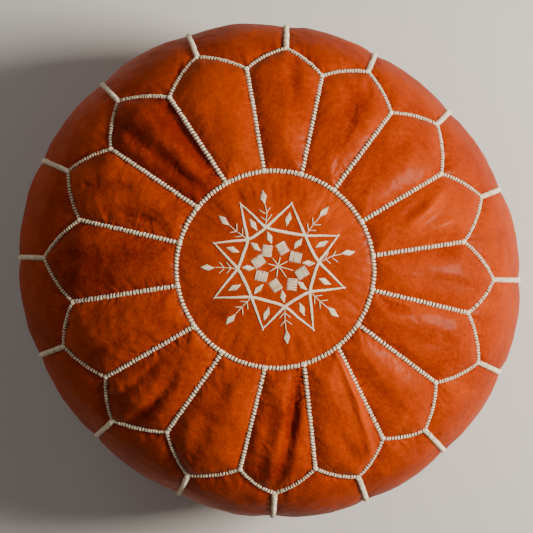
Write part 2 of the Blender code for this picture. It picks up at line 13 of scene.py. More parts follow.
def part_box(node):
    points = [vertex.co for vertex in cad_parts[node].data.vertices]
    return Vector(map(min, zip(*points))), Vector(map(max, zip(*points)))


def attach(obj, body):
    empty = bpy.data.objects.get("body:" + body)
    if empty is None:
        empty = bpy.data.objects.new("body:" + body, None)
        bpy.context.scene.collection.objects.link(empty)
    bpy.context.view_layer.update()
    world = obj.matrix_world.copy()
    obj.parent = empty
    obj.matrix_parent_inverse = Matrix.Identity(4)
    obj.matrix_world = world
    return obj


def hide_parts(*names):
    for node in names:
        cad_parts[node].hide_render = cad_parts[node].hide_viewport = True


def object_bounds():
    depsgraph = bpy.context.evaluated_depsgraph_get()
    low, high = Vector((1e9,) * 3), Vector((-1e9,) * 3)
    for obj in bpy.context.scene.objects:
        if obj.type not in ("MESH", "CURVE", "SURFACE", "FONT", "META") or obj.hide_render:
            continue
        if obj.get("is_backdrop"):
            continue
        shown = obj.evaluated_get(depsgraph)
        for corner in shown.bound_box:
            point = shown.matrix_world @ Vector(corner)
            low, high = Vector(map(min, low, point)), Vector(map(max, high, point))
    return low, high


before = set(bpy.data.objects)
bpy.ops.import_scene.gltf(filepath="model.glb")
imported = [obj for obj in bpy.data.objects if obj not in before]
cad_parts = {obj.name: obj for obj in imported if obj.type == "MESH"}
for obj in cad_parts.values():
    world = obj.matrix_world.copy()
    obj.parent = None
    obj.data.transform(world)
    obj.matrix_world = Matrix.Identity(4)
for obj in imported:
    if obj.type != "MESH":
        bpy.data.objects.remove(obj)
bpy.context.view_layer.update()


# --- Leather cover ------------------------------------------------------------------
# The cover is goatskin, dyed cognac by hand: a round medallion, sixteen petals and sixteen
# side panels, sewn edge to edge. The wadding pushes every panel out between its seams,
# which stay pulled in, so the skin pillows, creases and dimples along them.

PANELS = 16
PITCH = tau / PANELS
FIRST_SEAM = radians(9.5)
OUTER_RADIUS = 0.272
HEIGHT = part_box("top_medallion")[1].z
GIRTH_HEIGHT = HEIGHT / 2
TOP_FULLNESS = 2.6
FOOT_FULLNESS = 2.2
BASE_RADIUS = (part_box("base_half_left")[1].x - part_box("base_half_left")[0].x) / 2
FOOT_RADIUS = BASE_RADIUS + 0.006
OVAL = 0.025
OVAL_LONG_WAY = radians(144)
CORNERS = 0.005
MEDALLION_RADIUS = 0.102
MEDALLION_CENTRE = np.array((0.0055, 0.0015))
SCALLOP_RADIUS = OUTER_RADIUS - 0.034
NOTCH_RADIUS = SCALLOP_RADIUS - 0.028
SCALLOP_BOW = 0.003

# The seams are sewn by hand and wander: degrees that a seam leads its even place, and
# millimetres that it reaches out, going round from the first seam.
PETAL_LEAD_AT_MEDALLION = (-1.5, -3, -1, -2.5, -3, -2.5, -3, -2.5, 0, 3, 3, 7, 7.5, 7, 2, 1)
PETAL_LEAD_AT_NOTCH = (-1, -2.5, -2, -2, -3, -2, -2, -2, -0.5, 1, 3, 4.5, 3.5, 2, 1.5, 1)
SIDE_SEAM_LEAD = (-1.5, -2, -2, -2.5, -2, -1.5, -2, -1.5, -0.5, 0.5, 2.5, 3, 2.5, 1, 0.5, -0.5)
NOTCH_REACH = (-4, 0, 4, 5, 4, -1, -2, -6, -1, -2, -6, 3, 3, 1, -2, 1)
SCALLOP_REACH = (3, 5, 4, 1, 1, 1, -3, 0, -3, -2, 1, 0, -1, -5, 1, -2)
LEAD_LEFT_AT_FOOT = 0.3

COLUMNS = 16             # quads across a panel
PETAL_ROWS = 24
SIDE_ROWS = 44
LEATHER = 0.0016

PETAL_SWELL = 0.0068     # how far a petal's middle stands out past its seams
MEDALLION_SWELL = 0.0015
SIDE_SWELL = 0.0022
PETAL_SLOPE = 0.014      # how far in from its seams a petal's swell builds up
MEDALLION_SLOPE = 0.005
SIDE_SLOPE = 0.016
PETAL_SLACK = 0.085      # how much bigger a petal was cut than the place it fills, as a share
MEDALLION_SLACK = 0.012
SIDE_SLACK = 0.02
PETAL_GIVE = 0.009       # the most that the wadding's pressure moves a petal
OTHER_GIVE = 0.004
SEAM_PINCH = 0.0026      # how far the stitching pulls a top seam in
SIDE_PINCH = 0.0010


def make_outline():
    """Radius and height of the pouf's outline, from the top's middle round to the base's."""
    turn = np.linspace(0.0, pi / 2, 240)
    rising = np.abs(np.sin(turn))
    falling = np.abs(np.cos(turn))
    top_radius = OUTER_RADIUS * rising ** (2 / TOP_FULLNESS)
    top_height = GIRTH_HEIGHT + (HEIGHT - GIRTH_HEIGHT) * falling ** (2 / TOP_FULLNESS)
    foot_radius = FOOT_RADIUS + (OUTER_RADIUS - FOOT_RADIUS) * falling ** (2 / FOOT_FULLNESS)
    foot_height = GIRTH_HEIGHT * (1 - rising ** (2 / FOOT_FULLNESS))
    radius = np.concatenate([top_radius, foot_radius[1:], [0.0]])
    height = np.concatenate([top_height, foot_height[1:], [0.0]])
    return radius, height


OUTLINE_RADIUS, OUTLINE_HEIGHT = make_outline()
OUTLINE_STEP = np.hypot(np.diff(OUTLINE_RADIUS), np.diff(OUTLINE_HEIGHT))
OUTLINE_LENGTH = np.concatenate([[0.0], np.cumsum(OUTLINE_STEP)])
GIRTH = int(np.argmax(OUTLINE_RADIUS)) + 1
FOOT_LENGTH = OUTLINE_LENGTH[-1] - BASE_RADIUS


def skin_normal(place):
    """Outward directions at places on the pouf, each an angle and a length down the outline."""
    before = np.clip(place[..., 1] - 0.002, 0.0, None)
    after = np.clip(place[..., 1] + 0.002, None, OUTLINE_LENGTH[-1])
    run = (np.interp(after, OUTLINE_LENGTH, OUTLINE_RADIUS)
           - np.interp(before, OUTLINE_LENGTH, OUTLINE_RADIUS))
    fall = (np.interp(before, OUTLINE_LENGTH, OUTLINE_HEIGHT)
            - np.interp(after, OUTLINE_LENGTH, OUTLINE_HEIGHT))
    size = np.hypot(run, fall)
    outward = fall / size
    angle = place[..., 0]
    return np.stack([outward * np.cos(angle), outward * np.sin(angle), run / size], axis=-1)


def skin_point(place, lift=0.0):
    """Points on the pouf's skin, or lifted off it."""
    angle = place[..., 0]
    radius = np.interp(place[..., 1], OUTLINE_LENGTH, OUTLINE_RADIUS)
    height = np.interp(place[..., 1], OUTLINE_LENGTH, OUTLINE_HEIGHT)
    uneven = OVAL * np.cos(2 * (angle - OVAL_LONG_WAY)) + CORNERS * np.cos(4 * angle)
    radius = radius * (1 + uneven * (radius / OUTER_RADIUS) ** 2)
    point = np.stack([radius * np.cos(angle), radius * np.sin(angle), height], axis=-1)
    return point + np.asarray(lift)[..., None] * skin_normal(place)


def place_of(flat):
    """Places of points that are given flat, as seen from above."""
    radius = np.hypot(flat[..., 0], flat[..., 1])
    length = np.interp(radius, OUTLINE_RADIUS[:GIRTH], OUTLINE_LENGTH[:GIRTH])
    return np.stack([np.arctan2(flat[..., 1], flat[..., 0]), length], axis=-1)


def spoke(angle, radius):
    return radius * np.array((cos(angle), sin(angle)))


def seam_angle(number, leads):
    return FIRST_SEAM + PITCH * number + radians(leads[number % PANELS])


def medallion_edge(panel, share):
    """Flat point on the medallion's edge, between two petal seams."""
    start = seam_angle(panel, PETAL_LEAD_AT_MEDALLION)
    end = seam_angle(panel + 1, PETAL_LEAD_AT_MEDALLION)
    return MEDALLION_CENTRE + spoke(start + (end - start) * share, MEDALLION_RADIUS)


def notch(panel):
    """Flat point where a petal seam meets the two scallops beside it."""
    radius = NOTCH_RADIUS + NOTCH_REACH[panel % PANELS] / 1000
    return spoke(seam_angle(panel, PETAL_LEAD_AT_NOTCH), radius)


def scallop_top(panel):
    """Flat point at the middle of a petal's outer edge, where a side seam starts."""
    radius = SCALLOP_RADIUS + SCALLOP_REACH[panel % PANELS] / 1000
    return spoke(seam_angle(panel, SIDE_SEAM_LEAD) + PITCH / 2, radius)


def half_scallop(start, end, share):
    """Flat point on the bowed line between a notch and a scallop's top."""
    middle = (start + end) / 2
    across = np.array((end[1] - start[1], start[0] - end[0]))
    across = across / np.linalg.norm(across) * np.sign(across @ middle)
    return start + (end - start) * share + across * SCALLOP_BOW * 4 * share * (1 - share)


def scallop_edge(panel, steps):
    """Flat points along a petal's outer edge, from its first seam to the next."""
    shares = [step / (steps // 2) for step in range(steps // 2 + 1)]
    rise = [half_scallop(notch(panel), scallop_top(panel), share) for share in shares]
    fall = [half_scallop(scallop_top(panel), notch(panel + 1), share) for share in shares[1:]]
    return rise + fall


def petal_places():
    """Grid of places over each petal, from the medallion's edge out."""
    grids = []
    for panel in range(PANELS):
        inner = np.array([medallion_edge(panel, step / COLUMNS) for step in range(COLUMNS + 1)])
        outer = np.array(scallop_edge(panel, COLUMNS))
        rows = [inner + (outer - inner) * row / PETAL_ROWS for row in range(PETAL_ROWS + 1)]
        grids.append(place_of(np.array(rows)))
    return grids


def foot_angle(panel):
    lead = radians(SIDE_SEAM_LEAD[panel % PANELS])
    return FIRST_SEAM + PITCH * (panel + 0.5) + lead * LEAD_LEFT_AT_FOOT


def side_places():
    """Grid of places over each side panel, from its two scallop halves down to the base."""
    grids = []
    half = COLUMNS // 2
    for panel in range(PANELS):
        flat = scallop_edge(panel - 1, COLUMNS)[half:] + scallop_edge(panel, COLUMNS)[1:half + 1]
        top = place_of(np.array(flat))
        foot = np.linspace(foot_angle(panel - 1), foot_angle(panel), COLUMNS + 1)
        top[:, 0] += tau * np.round((foot - top[:, 0]) / tau)
        bottom = np.stack([foot, np.full(COLUMNS + 1, FOOT_LENGTH)], axis=-1)
        rows = [top + (bottom - top) * row / SIDE_ROWS for row in range(SIDE_ROWS + 1)]
        grids.append(np.array(rows))
    return grids


def medallion_places():
    """A square grid bent round into a disc, so the skin has no knot in its middle."""
    size = PANELS * COLUMNS // 4
    rim = [medallion_edge(panel, step / COLUMNS) - MEDALLION_CENTRE
           for panel in range(PANELS) for step in range(COLUMNS)]
    count = len(rim)
    rim_angle = np.unwrap([np.arctan2(point[1], point[0]) for point in rim])
    rim_angle = np.append(rim_angle, rim_angle[0] + tau)
    grid = np.zeros((size + 1, size + 1, 2))
    for row in range(size + 1):
        for column in range(size + 1):
            x = column - size / 2
            y = row - size / 2
            ring = max(abs(x), abs(y))
            if ring == 0:
                continue
            if x == ring and y > -ring:
                along = y + ring
            elif y == ring:
                along = 2 * ring + (ring - x)
            elif x == -ring:
                along = 4 * ring + (ring - y)
            else:
                along = 6 * ring + (x + ring)
            share = along / (8 * ring)
            angle = np.interp(share * count, range(count + 1), rim_angle)
            grid[column, row] = spoke(angle, MEDALLION_RADIUS * ring / (size / 2))
    return place_of(MEDALLION_CENTRE + grid)


def line_distance(points, line):
    """How far points are from a line through a few points, and how far along it (0 to 1)."""
    best = np.full(points.shape[:-1], 1e9)
    along = np.zeros(points.shape[:-1])
    for number, (start, end) in enumerate(zip(line, line[1:])):
        run = end - start
        share = np.clip((points - start) @ run / max(run @ run, 1e-18), 0, 1)
        distance = np.linalg.norm(points - start - share[..., None] * run, axis=-1)
        along = np.where(distance < best, (number + share) / (len(line) - 1), along)
        best = np.minimum(best, distance)
    return best, along


def edge_distance(grid):
    """How far each point of a grid of points is from the grid's outline."""
    outline = np.concatenate([grid[0, ::4], grid[::4, -1], grid[-1, ::-4], grid[::-4, 0]])
    return line_distance(grid, outline)[0]


# Folds that have set in the petals: the petal, then places across it (0 to 1, anticlockwise)
# and out along it (0 to 1), then how wide and how high; a negative height is a valley.
PETAL_FOLDS = (
    (0, ((0.42, 0.28), (0.60, 0.55), (0.80, 0.85)), 0.0065, 0.0034),
    (0, ((0.22, 0.45), (0.34, 0.82)), 0.0080, 0.0026),
    (0, ((0.62, 0.30), (0.76, 0.60)), 0.0070, -0.0020),
    (1, ((0.55, 0.20), (0.62, 0.85)), 0.0110, -0.0022),
    (2, ((0.45, 0.22), (0.42, 0.55), (0.50, 0.88)), 0.0150, -0.0058),
    (3, ((0.30, 0.50), (0.42, 0.90)), 0.0080, -0.0026),
    (4, ((0.60, 0.15), (0.55, 0.60)), 0.0090, -0.0020),
    (5, ((0.16, 0.12), (0.14, 0.90)), 0.0070, -0.0058),
    (5, ((0.40, 0.20), (0.42, 0.85)), 0.0070, 0.0016),
    (5, ((0.62, 0.10), (0.66, 0.90)), 0.0070, -0.0056),
    (6, ((0.30, 0.50), (0.60, 0.92)), 0.0080, -0.0038),
    (6, ((0.70, 0.15), (0.78, 0.60)), 0.0070, -0.0026),
    (7, ((0.35, 0.20), (0.50, 0.85)), 0.0100, -0.0034),
    (8, ((0.60, 0.40), (0.70, 0.92)), 0.0070, -0.0028),
    (9, ((0.55, 0.35), (0.70, 0.70), (0.62, 0.95)), 0.0070, -0.0044),
    (9, ((0.25, 0.40), (0.30, 0.90)), 0.0060, -0.0032),
    (10, ((0.40, 0.10), (0.45, 0.80)), 0.0090, -0.0030),
    (11, ((0.50, 0.95), (0.66, 0.50), (0.82, 0.06)), 0.0065, -0.0068),
    (11, ((0.25, 0.90), (0.40, 0.30)), 0.0070, -0.0026),
    (12, ((0.78, 0.95), (0.86, 0.50), (0.92, 0.06)), 0.0045, 0.0042),
    (12, ((0.40, 0.60), (0.55, 0.92)), 0.0080, -0.0024),
    (13, ((0.20, 0.25), (0.35, 0.80)), 0.0090, -0.0022),
    (14, ((0.85, 0.06), (0.74, 0.18), (0.84, 0.36)), 0.0045, -0.0034),
    (14, ((0.30, 0.20), (0.55, 0.80)), 0.0100, -0.0022),
    (15, ((0.50, 0.30), (0.40, 0.85)), 0.0080, -0.0016),
)


FOLD_STRENGTH = 1.35


def swell(grid, height, pinch, reach):
    """Lift over a panel: pulled in along its seams, standing out in its middle."""
    far = 1 - np.exp(-edge_distance(grid) / reach)
    return far * (height + pinch) - pinch


petal_grids = petal_places()
side_grids = side_places()
medallion_grid = medallion_places()

cover = {}               # each panel's grid of points
slack = {}               # how much bigger each panel was cut than the place it fills
set_folds = {}           # how far each point of a panel stands out or in by a set fold


def fold_lift(grid, line, width, height):
    """A soft ridge or valley along a line, fading at its ends."""
    distance, along = line_distance(grid, line)
    return height * np.exp(-(distance / width) ** 2) * np.sin(pi * (0.08 + 0.84 * along))


for number, places in enumerate(petal_grids):
    flat = skin_point(places)
    folds = np.zeros(flat.shape[:2])
    for petal, fold, width, height in PETAL_FOLDS:
        if petal == number:
            line = [flat[round(out * PETAL_ROWS), round(across * COLUMNS)] for across, out in fold]
            folds += fold_lift(flat, line, width, FOLD_STRENGTH * height)
    lift = swell(flat, PETAL_SWELL, SEAM_PINCH, PETAL_SLOPE) + folds
    name = f"petal_{number + 1:02d}"
    cover[name] = skin_point(places, lift)
    set_folds[name] = folds
    slack[name] = PETAL_SLACK
for number, places in enumerate(side_grids):
    flat = skin_point(places)
    lift = swell(flat, SIDE_SWELL, SIDE_PINCH, SIDE_SLOPE)
    # The pinch is as deep as a petal's where a side panel is sewn to petals.
    scalloped = np.exp(-((places[..., 1] - places[:1, :, 1]) / 0.02) ** 2)
    lift -= (SEAM_PINCH - SIDE_PINCH) * scalloped * np.exp(-edge_distance(flat) / 0.012)
    name = f"side_panel_{number + 1:02d}"
    cover[name] = skin_point(places, lift)
    set_folds[name] = np.zeros(flat.shape[:2])
    slack[name] = SIDE_SLACK

# Dents in the medallion: their ends in millimetres from its middle, how wide and how deep.
MEDALLION_DENTS = (
    ((-72, -40), (-42, -52), 0.011, -0.0030),
    ((-50, -66), (-20, -80), 0.010, -0.0016),
    ((8, -82), (44, -70), 0.012, -0.0030),
    ((-56, 74), (-30, 56), 0.008, 0.0016),
    ((-38, 84), (-22, 66), 0.007, -0.0016),
    ((60, -52), (80, -30), 0.012, 0.0012),
)
flat = skin_point(medallion_grid)
folds = np.zeros(flat.shape[:2])
for start, end, width, height in MEDALLION_DENTS:
    line = [np.array((x / 1000, y / 1000, HEIGHT - 0.002)) for x, y in (start, end)]
    folds += fold_lift(flat, line, width, height)
lift = swell(flat, MEDALLION_SWELL, SEAM_PINCH, MEDALLION_SLOPE)
lift += folds * (1 - np.exp(-edge_distance(flat) / 0.006))
cover["medallion"] = skin_point(medallion_grid, lift)
set_folds["medallion"] = folds
slack["medallion"] = MEDALLION_SLACK


def add_object(name, data):
    piece = bpy.data.objects.new(name, data)
    bpy.context.scene.collection.objects.link(piece)
    return piece


def stuff(cover, slack):
    """Blow the whole cover up as one sheet of cloth that is held along its seams."""
    points = []
    loose = []
    faces = []
    index = {}
    held = set()
    known = {}
    for name, grid in cover.items():
        rows, columns = grid.shape[:2]
        number = np.zeros((rows, columns), int)
        for row in range(rows):
            for column in range(columns):
                on_seam = row in (0, rows - 1) or column in (0, columns - 1)
                key = (name, row, column)
                if on_seam:
                    # Points of neighbours within half a millimetre are one point of the seam.
                    key = tuple(np.round(grid[row, column] * 2e3).astype(int))
                if key not in known:
                    known[key] = len(points)
                    points.append(grid[row, column])
                    loose.append(slack[name])
                number[row, column] = known[key]
                if on_seam:
                    held.add(known[key])
        for row in range(rows - 1):
            for column in range(columns - 1):
                corners = (number[row, column], number[row + 1, column],
                           number[row + 1, column + 1], number[row, column + 1])
                if len(set(corners)) > 2:
                    faces.append(list(dict.fromkeys(int(corner) for corner in corners)))
        index[name] = number

    mesh = bpy.data.meshes.new("cover")
    mesh.from_pydata([tuple(point) for point in points], [], faces)
    piece = add_object("cover", mesh)
    seams = piece.vertex_groups.new(name="seams")
    seams.add(sorted(held), 1.0, "REPLACE")
    most = max(slack.values())
    cut = piece.vertex_groups.new(name="cut")
    for number, share in enumerate(loose):
        cut.add([number], share / most, "REPLACE")
    cloth = piece.modifiers.new("cloth", "CLOTH")
    cloth.settings.quality = 5
    cloth.settings.mass = 0.4
    cloth.settings.tension_stiffness = 20
    cloth.settings.compression_stiffness = 20
    cloth.settings.shear_stiffness = 8
    cloth.settings.bending_stiffness = 0.2
    cloth.settings.effector_weights.gravity = 0
    cloth.settings.use_pressure = True
    cloth.settings.uniform_pressure_force = 4
    cloth.settings.vertex_group_mass = "seams"
    cloth.settings.vertex_group_shrink = "cut"
    cloth.settings.shrink_min = 0.0
    cloth.settings.shrink_max = -most
    cloth.collision_settings.use_collision = False
    for step in range(1, 23):
        bpy.context.scene.frame_set(step)
    settled = piece.evaluated_get(bpy.context.evaluated_depsgraph_get()).to_mesh()
    result = np.zeros(len(points) * 3)
    settled.vertices.foreach_get("co", result)
    result = result.reshape(-1, 3)
    bpy.context.scene.frame_set(1)
    bpy.data.objects.remove(piece)
    return {name: result[index[name]] for name in cover}


stuffed = stuff(cover, slack)
for name, grid in cover.items():
    moved = stuffed[name] - grid
    most = PETAL_GIVE if name.startswith("petal") else OTHER_GIVE
    distance = np.linalg.norm(moved, axis=-1, keepdims=True)
    cover[name] = grid + moved * most * np.tanh(distance / most) / np.maximum(distance, 1e-9)


def between(points, parts):
    """Smooth curve through rows of points, with each gap split into parts."""
    ends = np.concatenate([2 * points[:1] - points[1:2], points, 2 * points[-1:] - points[-2:-1]])
    a, b, c, d = ends[:-3], ends[1:-2], ends[2:-1], ends[3:]
    fine = np.empty(((len(points) - 1) * parts + 1,) + points.shape[1:])
    for part in range(parts):
        t = part / parts
        fine[part:-1:parts] = 0.5 * (2 * b + (c - a) * t + (2 * a - 5 * b + 4 * c - d) * t ** 2
                                     + (3 * b - a - 3 * c + d) * t ** 3)
    fine[-1] = points[-1]
    return fine


def smooth_grid(grid, parts):
    rows = between(grid, parts)
    return np.swapaxes(between(np.swapaxes(rows, 0, 1), parts), 0, 1)


def grid_normals(grid):
    out = np.cross(np.gradient(grid, axis=0), np.gradient(grid, axis=1))
    return out / np.maximum(np.linalg.norm(out, axis=-1, keepdims=True), 1e-12)


def puckers(grid, draw, edges, spacing, reach, depth, thin=0.0011, broad=0.0024):
    """Short creases that run out square from a sewn edge, where the stitches draw the skin up."""
    lift = np.zeros(grid.shape[:2])
    for edge in edges:
        facing = {"first": grid, "last": grid[::-1], "left": np.swapaxes(grid, 0, 1),
                  "right": np.swapaxes(grid, 0, 1)[::-1]}[edge]
        target = {"first": lift, "last": lift[::-1], "left": lift.T, "right": lift.T[::-1]}[edge]
        span = np.linalg.norm(np.diff(facing[0], axis=0), axis=-1).sum()
        inward = np.linalg.norm(facing[1] - facing[0], axis=-1).mean()
        for crease in range(int(span / spacing)):
            column = int(draw.uniform(0.04, 0.96) * (facing.shape[1] - 1))
            length = reach * draw.uniform(0.4, 1.4)
            row = min(int(length / inward), facing.shape[0] - 2)
            lean = int(draw.uniform(-0.12, 0.12) * facing.shape[1])
            tip = min(max(column + lean, 1), facing.shape[1] - 2)
            rows = slice(0, min(int(1.6 * row) + 3, facing.shape[0]))
            distance, along = line_distance(facing[rows], [facing[0, column], facing[row, tip]])
            wide = draw.uniform(thin, broad)
            deep = depth * draw.uniform(0.4, 1.0) * draw.choice([-1, -1, 1])
            target[rows] += deep * np.exp(-(distance / wide) ** 2) * (1 - along) ** 0.7
    return lift


def wander(grid, size, octaves=3):
    """Soft lumps of the wadding: a smooth noise over a grid of points."""
    flat = grid.reshape(-1, 3) / size
    values = [noise.fractal(Vector(point), 0.6, 2.1, octaves) for point in flat]
    return np.array(values).reshape(grid.shape[:2])


def grid_mesh(name, grid, tone=None):
    """A piece from a grid of points, and how dark the dye and the painted shading are at each of them.
    """
    rows, columns = grid.shape[:2]
    number = np.arange(rows * columns).reshape(rows, columns)
    quads = np.stack([number[:-1, :-1], number[1:, :-1], number[1:, 1:], number[:-1, 1:]], axis=-1)
    mesh = bpy.data.meshes.new(name)
    mesh.from_pydata(grid.reshape(-1, 3).tolist(), [], quads.reshape(-1, 4).tolist())
    if tone is not None:
        dye_and_painted_shading = mesh.attributes.new("dye_and_painted_shading", "FLOAT", "POINT")
        dye_and_painted_shading.data.foreach_set("value", tone.reshape(-1).astype(np.float32))
    mesh.shade_smooth()
    return add_object(name, mesh)


def weld(piece, close_ends=False):
    """Join the points of a piece that lie on each other, and cap a tube's open ends."""
    shell = bmesh.new()
    shell.from_mesh(piece.data)
    bmesh.ops.remove_doubles(shell, verts=shell.verts, dist=1e-6)
    if close_ends:
        bmesh.ops.holes_fill(shell, edges=[edge for edge in shell.edges if edge.is_boundary])
        bmesh.ops.recalc_face_normals(shell, faces=shell.faces)
    shell.to_mesh(piece.data)
    shell.free()


def thicken(piece, thickness):
    """Skin of an even thickness, grown inward."""
    solid = piece.modifiers.new("thickness", "SOLIDIFY")
    solid.thickness = thickness
    solid.offset = -1
    solid.use_even_offset = False


class Finish:
    """A material in the making: textures that keep their place on the piece, run into a shader."""

    def __init__(self, name):
        self.material = bpy.data.materials.new(name)
        self.material.use_nodes = True
        self.tree = self.material.node_tree
        self.shader = self.tree.nodes["Principled BSDF"]
        self.place = self.tree.nodes.new("ShaderNodeTexCoord").outputs["Object"]
        self.normal = None

    def link(self, start, end):
        self.tree.links.new(start, end)

    def fix(self, settings):
        """Numbers and colours that are the same all over the piece."""
        for socket, value in settings.items():
            self.shader.inputs[socket].default_value = value

    def texture(self, kind, **settings):
        node = self.tree.nodes.new("ShaderNodeTex" + kind)
        for setting, value in settings.items():
            node.inputs[setting].default_value = value
        self.link(self.place, node.inputs["Vector"])
        return node

    def blend(self, texture, share, under):
        """A share of one texture added to another."""
        node = self.tree.nodes.new("ShaderNodeMath")
        node.operation = "MULTIPLY_ADD"
        node.inputs[1].default_value = share
        self.link(texture, node.inputs[0])
        self.link(under, node.inputs[2])
        return node.outputs[0]

    def colour(self, tone, dark, light, start=0.0, end=1.0):
        """The surface's colour: dark up to the tone start, light from the tone end."""
        shade = self.tree.nodes.new("ShaderNodeValToRGB")
        shade.color_ramp.elements[0].position = start
        shade.color_ramp.elements[0].color = dark + (1,)
        shade.color_ramp.elements[1].position = end
        shade.color_ramp.elements[1].color = light + (1,)
        self.link(tone, shade.inputs["Fac"])
        self.link(shade.outputs["Color"], self.shader.inputs["Base Color"])

    def roughness(self, tone, first, last, start=0.0, end=1.0):
        """The surface's roughness, from first to last as the tone goes from start to end."""
        spread = self.tree.nodes.new("ShaderNodeMapRange")
        spread.inputs["From Min"].default_value = start
        spread.inputs["From Max"].default_value = end
        spread.inputs["To Min"].default_value = first
        spread.inputs["To Max"].default_value = last
        self.link(tone, spread.inputs["Value"])
        self.link(spread.outputs["Result"], self.shader.inputs["Roughness"])

    def bump(self, height, strength, distance):
        """Relief too fine for the mesh, on top of any relief that is there already."""
        node = self.tree.nodes.new("ShaderNodeBump")
        node.inputs["Strength"].default_value = strength
        node.inputs["Distance"].default_value = distance
        self.link(height, node.inputs["Height"])
        if self.normal is not None:
            self.link(self.normal, node.inputs["Normal"])
        self.normal = node.outputs["Normal"]
        self.link(self.normal, self.shader.inputs["Normal"])


def make_leather(name, light, dark):
    """Hand-dyed goatskin: uneven dye with painted shade and painted light read from the mesh, pebbled
    grain, fine creases, and a soft waxed shine.
    """
    skin = Finish(name)
    clouds = skin.texture("Noise", Scale=22, Detail=5, Roughness=0.62).outputs["Fac"]
    mottle = skin.texture("Noise", Scale=260, Detail=6, Roughness=0.7).outputs["Fac"]
    grain = skin.texture("Voronoi", Scale=620).outputs["Distance"]
    pores = skin.texture("Noise", Scale=1500, Detail=3).outputs["Fac"]
    creases = skin.texture("Noise", Scale=60, Detail=5, Distortion=0.8)
    creases.noise_type = "RIDGED_MULTIFRACTAL"
    # The mesh attribute read here holds each panel's dye, darker along its seams, with painted shade in
    # its dents and fold valleys and painted light on their ridges.
    dye_and_painted_shading = skin.tree.nodes.new("ShaderNodeAttribute")
    dye_and_painted_shading.attribute_name = "dye_and_painted_shading"
    uneven = skin.blend(clouds, 0.75, dye_and_painted_shading.outputs["Fac"])
    skin.colour(skin.blend(mottle, 0.75, uneven), dark, light, 0.42, 0.98)
    skin.roughness(mottle, 0.42, 0.70, 0.3, 0.7)
    skin.bump(creases.outputs["Fac"], 0.7, 0.0008)
    skin.bump(mottle, 0.5, 0.0008)
    skin.bump(grain, 0.7, 0.0003)
    skin.bump(pores, 0.4, 0.0002)
    skin.fix({
        "Specular IOR Level": 0.14,
        "Specular Tint": (1.0, 0.42, 0.12, 1.0),
        "Coat Weight": 0.035,
        "Coat Roughness": 0.22,
    })
    return skin.material


COGNAC = (0.50, 0.052, 0.0003)
COGNAC_DARK = (0.20, 0.0115, 0.0003)
leather = make_leather("cognac_leather", COGNAC, COGNAC_DARK)

# Each skin took the dye a little differently; below 0 is darker.
PETAL_DYE = (0.03, 0.02, 0.03, -0.03, 0.08, -0.20, 0.0, -0.16,
             0.03, 0.0, 0.03, -0.04, 0.08, 0.04, 0.0, -0.02)
# How strongly each petal is creased along its seams, and how lumpy it lies.
PETAL_CREASE = (0.5, 0.7, 1.0, 0.8, 0.8, 1.3, 1.5, 1.1, 1.5, 1.6, 1.2, 1.3, 0.9, 1.0, 0.7, 0.5)
# How a panel puckers along its sewn edges: which edges, how far apart the creases are, how
# long and how deep they are, and for the last row how narrow and how broad.
PETAL_PUCKERS = (
    (("left", "right"), 0.0036, 0.026, 0.0006),
    (("first",), 0.004, 0.018, 0.0005),
    (("last",), 0.0035, 0.020, 0.0006),
    (("left", "right"), 0.0060, 0.060, 0.0010, 0.0009, 0.0015),
)
SIDE_PUCKERS = (
    (("left", "right"), 0.005, 0.020, 0.0009),
    (("first",), 0.0035, 0.026, 0.0013),
    (("last",), 0.0045, 0.026, 0.0008),
)
FLOOR_GAP = 0.0003       # the lowest that the side panels' feet may be


def pucker_all(grid, draw, table, strength=1.0):
    lift = np.zeros(grid.shape[:2])
    for edges, spacing, reach, depth, *widths in table:
        lift += puckers(grid, draw, edges, spacing, reach, depth * strength, *widths)
    return lift


draw = np.random.default_rng(16)
for name, coarse in cover.items():
    parts = 2 if name == "medallion" else 4
    if name.startswith("side"):
        parts = 3
    grid = smooth_grid(coarse, parts)
    out = grid_normals(grid)
    near = edge_distance(grid)
    inside = 1 - np.exp(-(near / 0.006) ** 2)
    if name.startswith("petal"):
        crease = PETAL_CREASE[int(name[-2:]) - 1]
        lift = pucker_all(grid, draw, PETAL_PUCKERS, crease)
        lift += inside * 0.0011 * crease * wander(grid, 0.040)
        dye_and_painted_shading = PETAL_DYE[int(name[-2:]) - 1]
        piece_name = "top_" + name
    elif name.startswith("side"):
        lift = pucker_all(grid, draw, SIDE_PUCKERS)
        lift += inside * 0.0011 * wander(grid, 0.045)
        dye_and_painted_shading = 0.04 * draw.uniform(-1, 1)
        piece_name = name
    else:
        lift = inside * 0.0008 * wander(grid, 0.040)
        dye_and_painted_shading = 0.05
        piece_name = "top_medallion"
    grid = grid + out * lift[..., None]
    grid[..., 2] = np.maximum(grid[..., 2], FLOOR_GAP)
    # The panel's dye, darker along its seams, with painted shade in its dents and set fold valleys and
    # a painted highlight on their ridges.
    tone = dye_and_painted_shading - 0.14 * np.exp(-(near / 0.0035) ** 2) + np.clip(lift, -0.0012, 0.0012) * 75
    tone += smooth_grid(set_folds[name], parts) * 34
    panel = grid_mesh(piece_name + "_leather", grid, tone)
    panel.data.materials.append(leather)
    thicken(panel, LEATHER)
    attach(panel, "root")
    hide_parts(piece_name)
    cover[name] = grid


# --- Base leather -------------------------------------------------------------------
# The base is two half discs of the same goatskin in a darker dye. Their straight edges are
# folded up beside the zip and sewn down, and their round edges join the side panels.

FOLD_NEAR = 0.00475      # from the zip's middle to the folded edge
FOLD_HEIGHT = 0.0064
BASE_LIFT = 0.0006       # the base's middle clears the floor, and its sewing with it
BASE_ROWS = 40
BASE_COLUMNS = 96

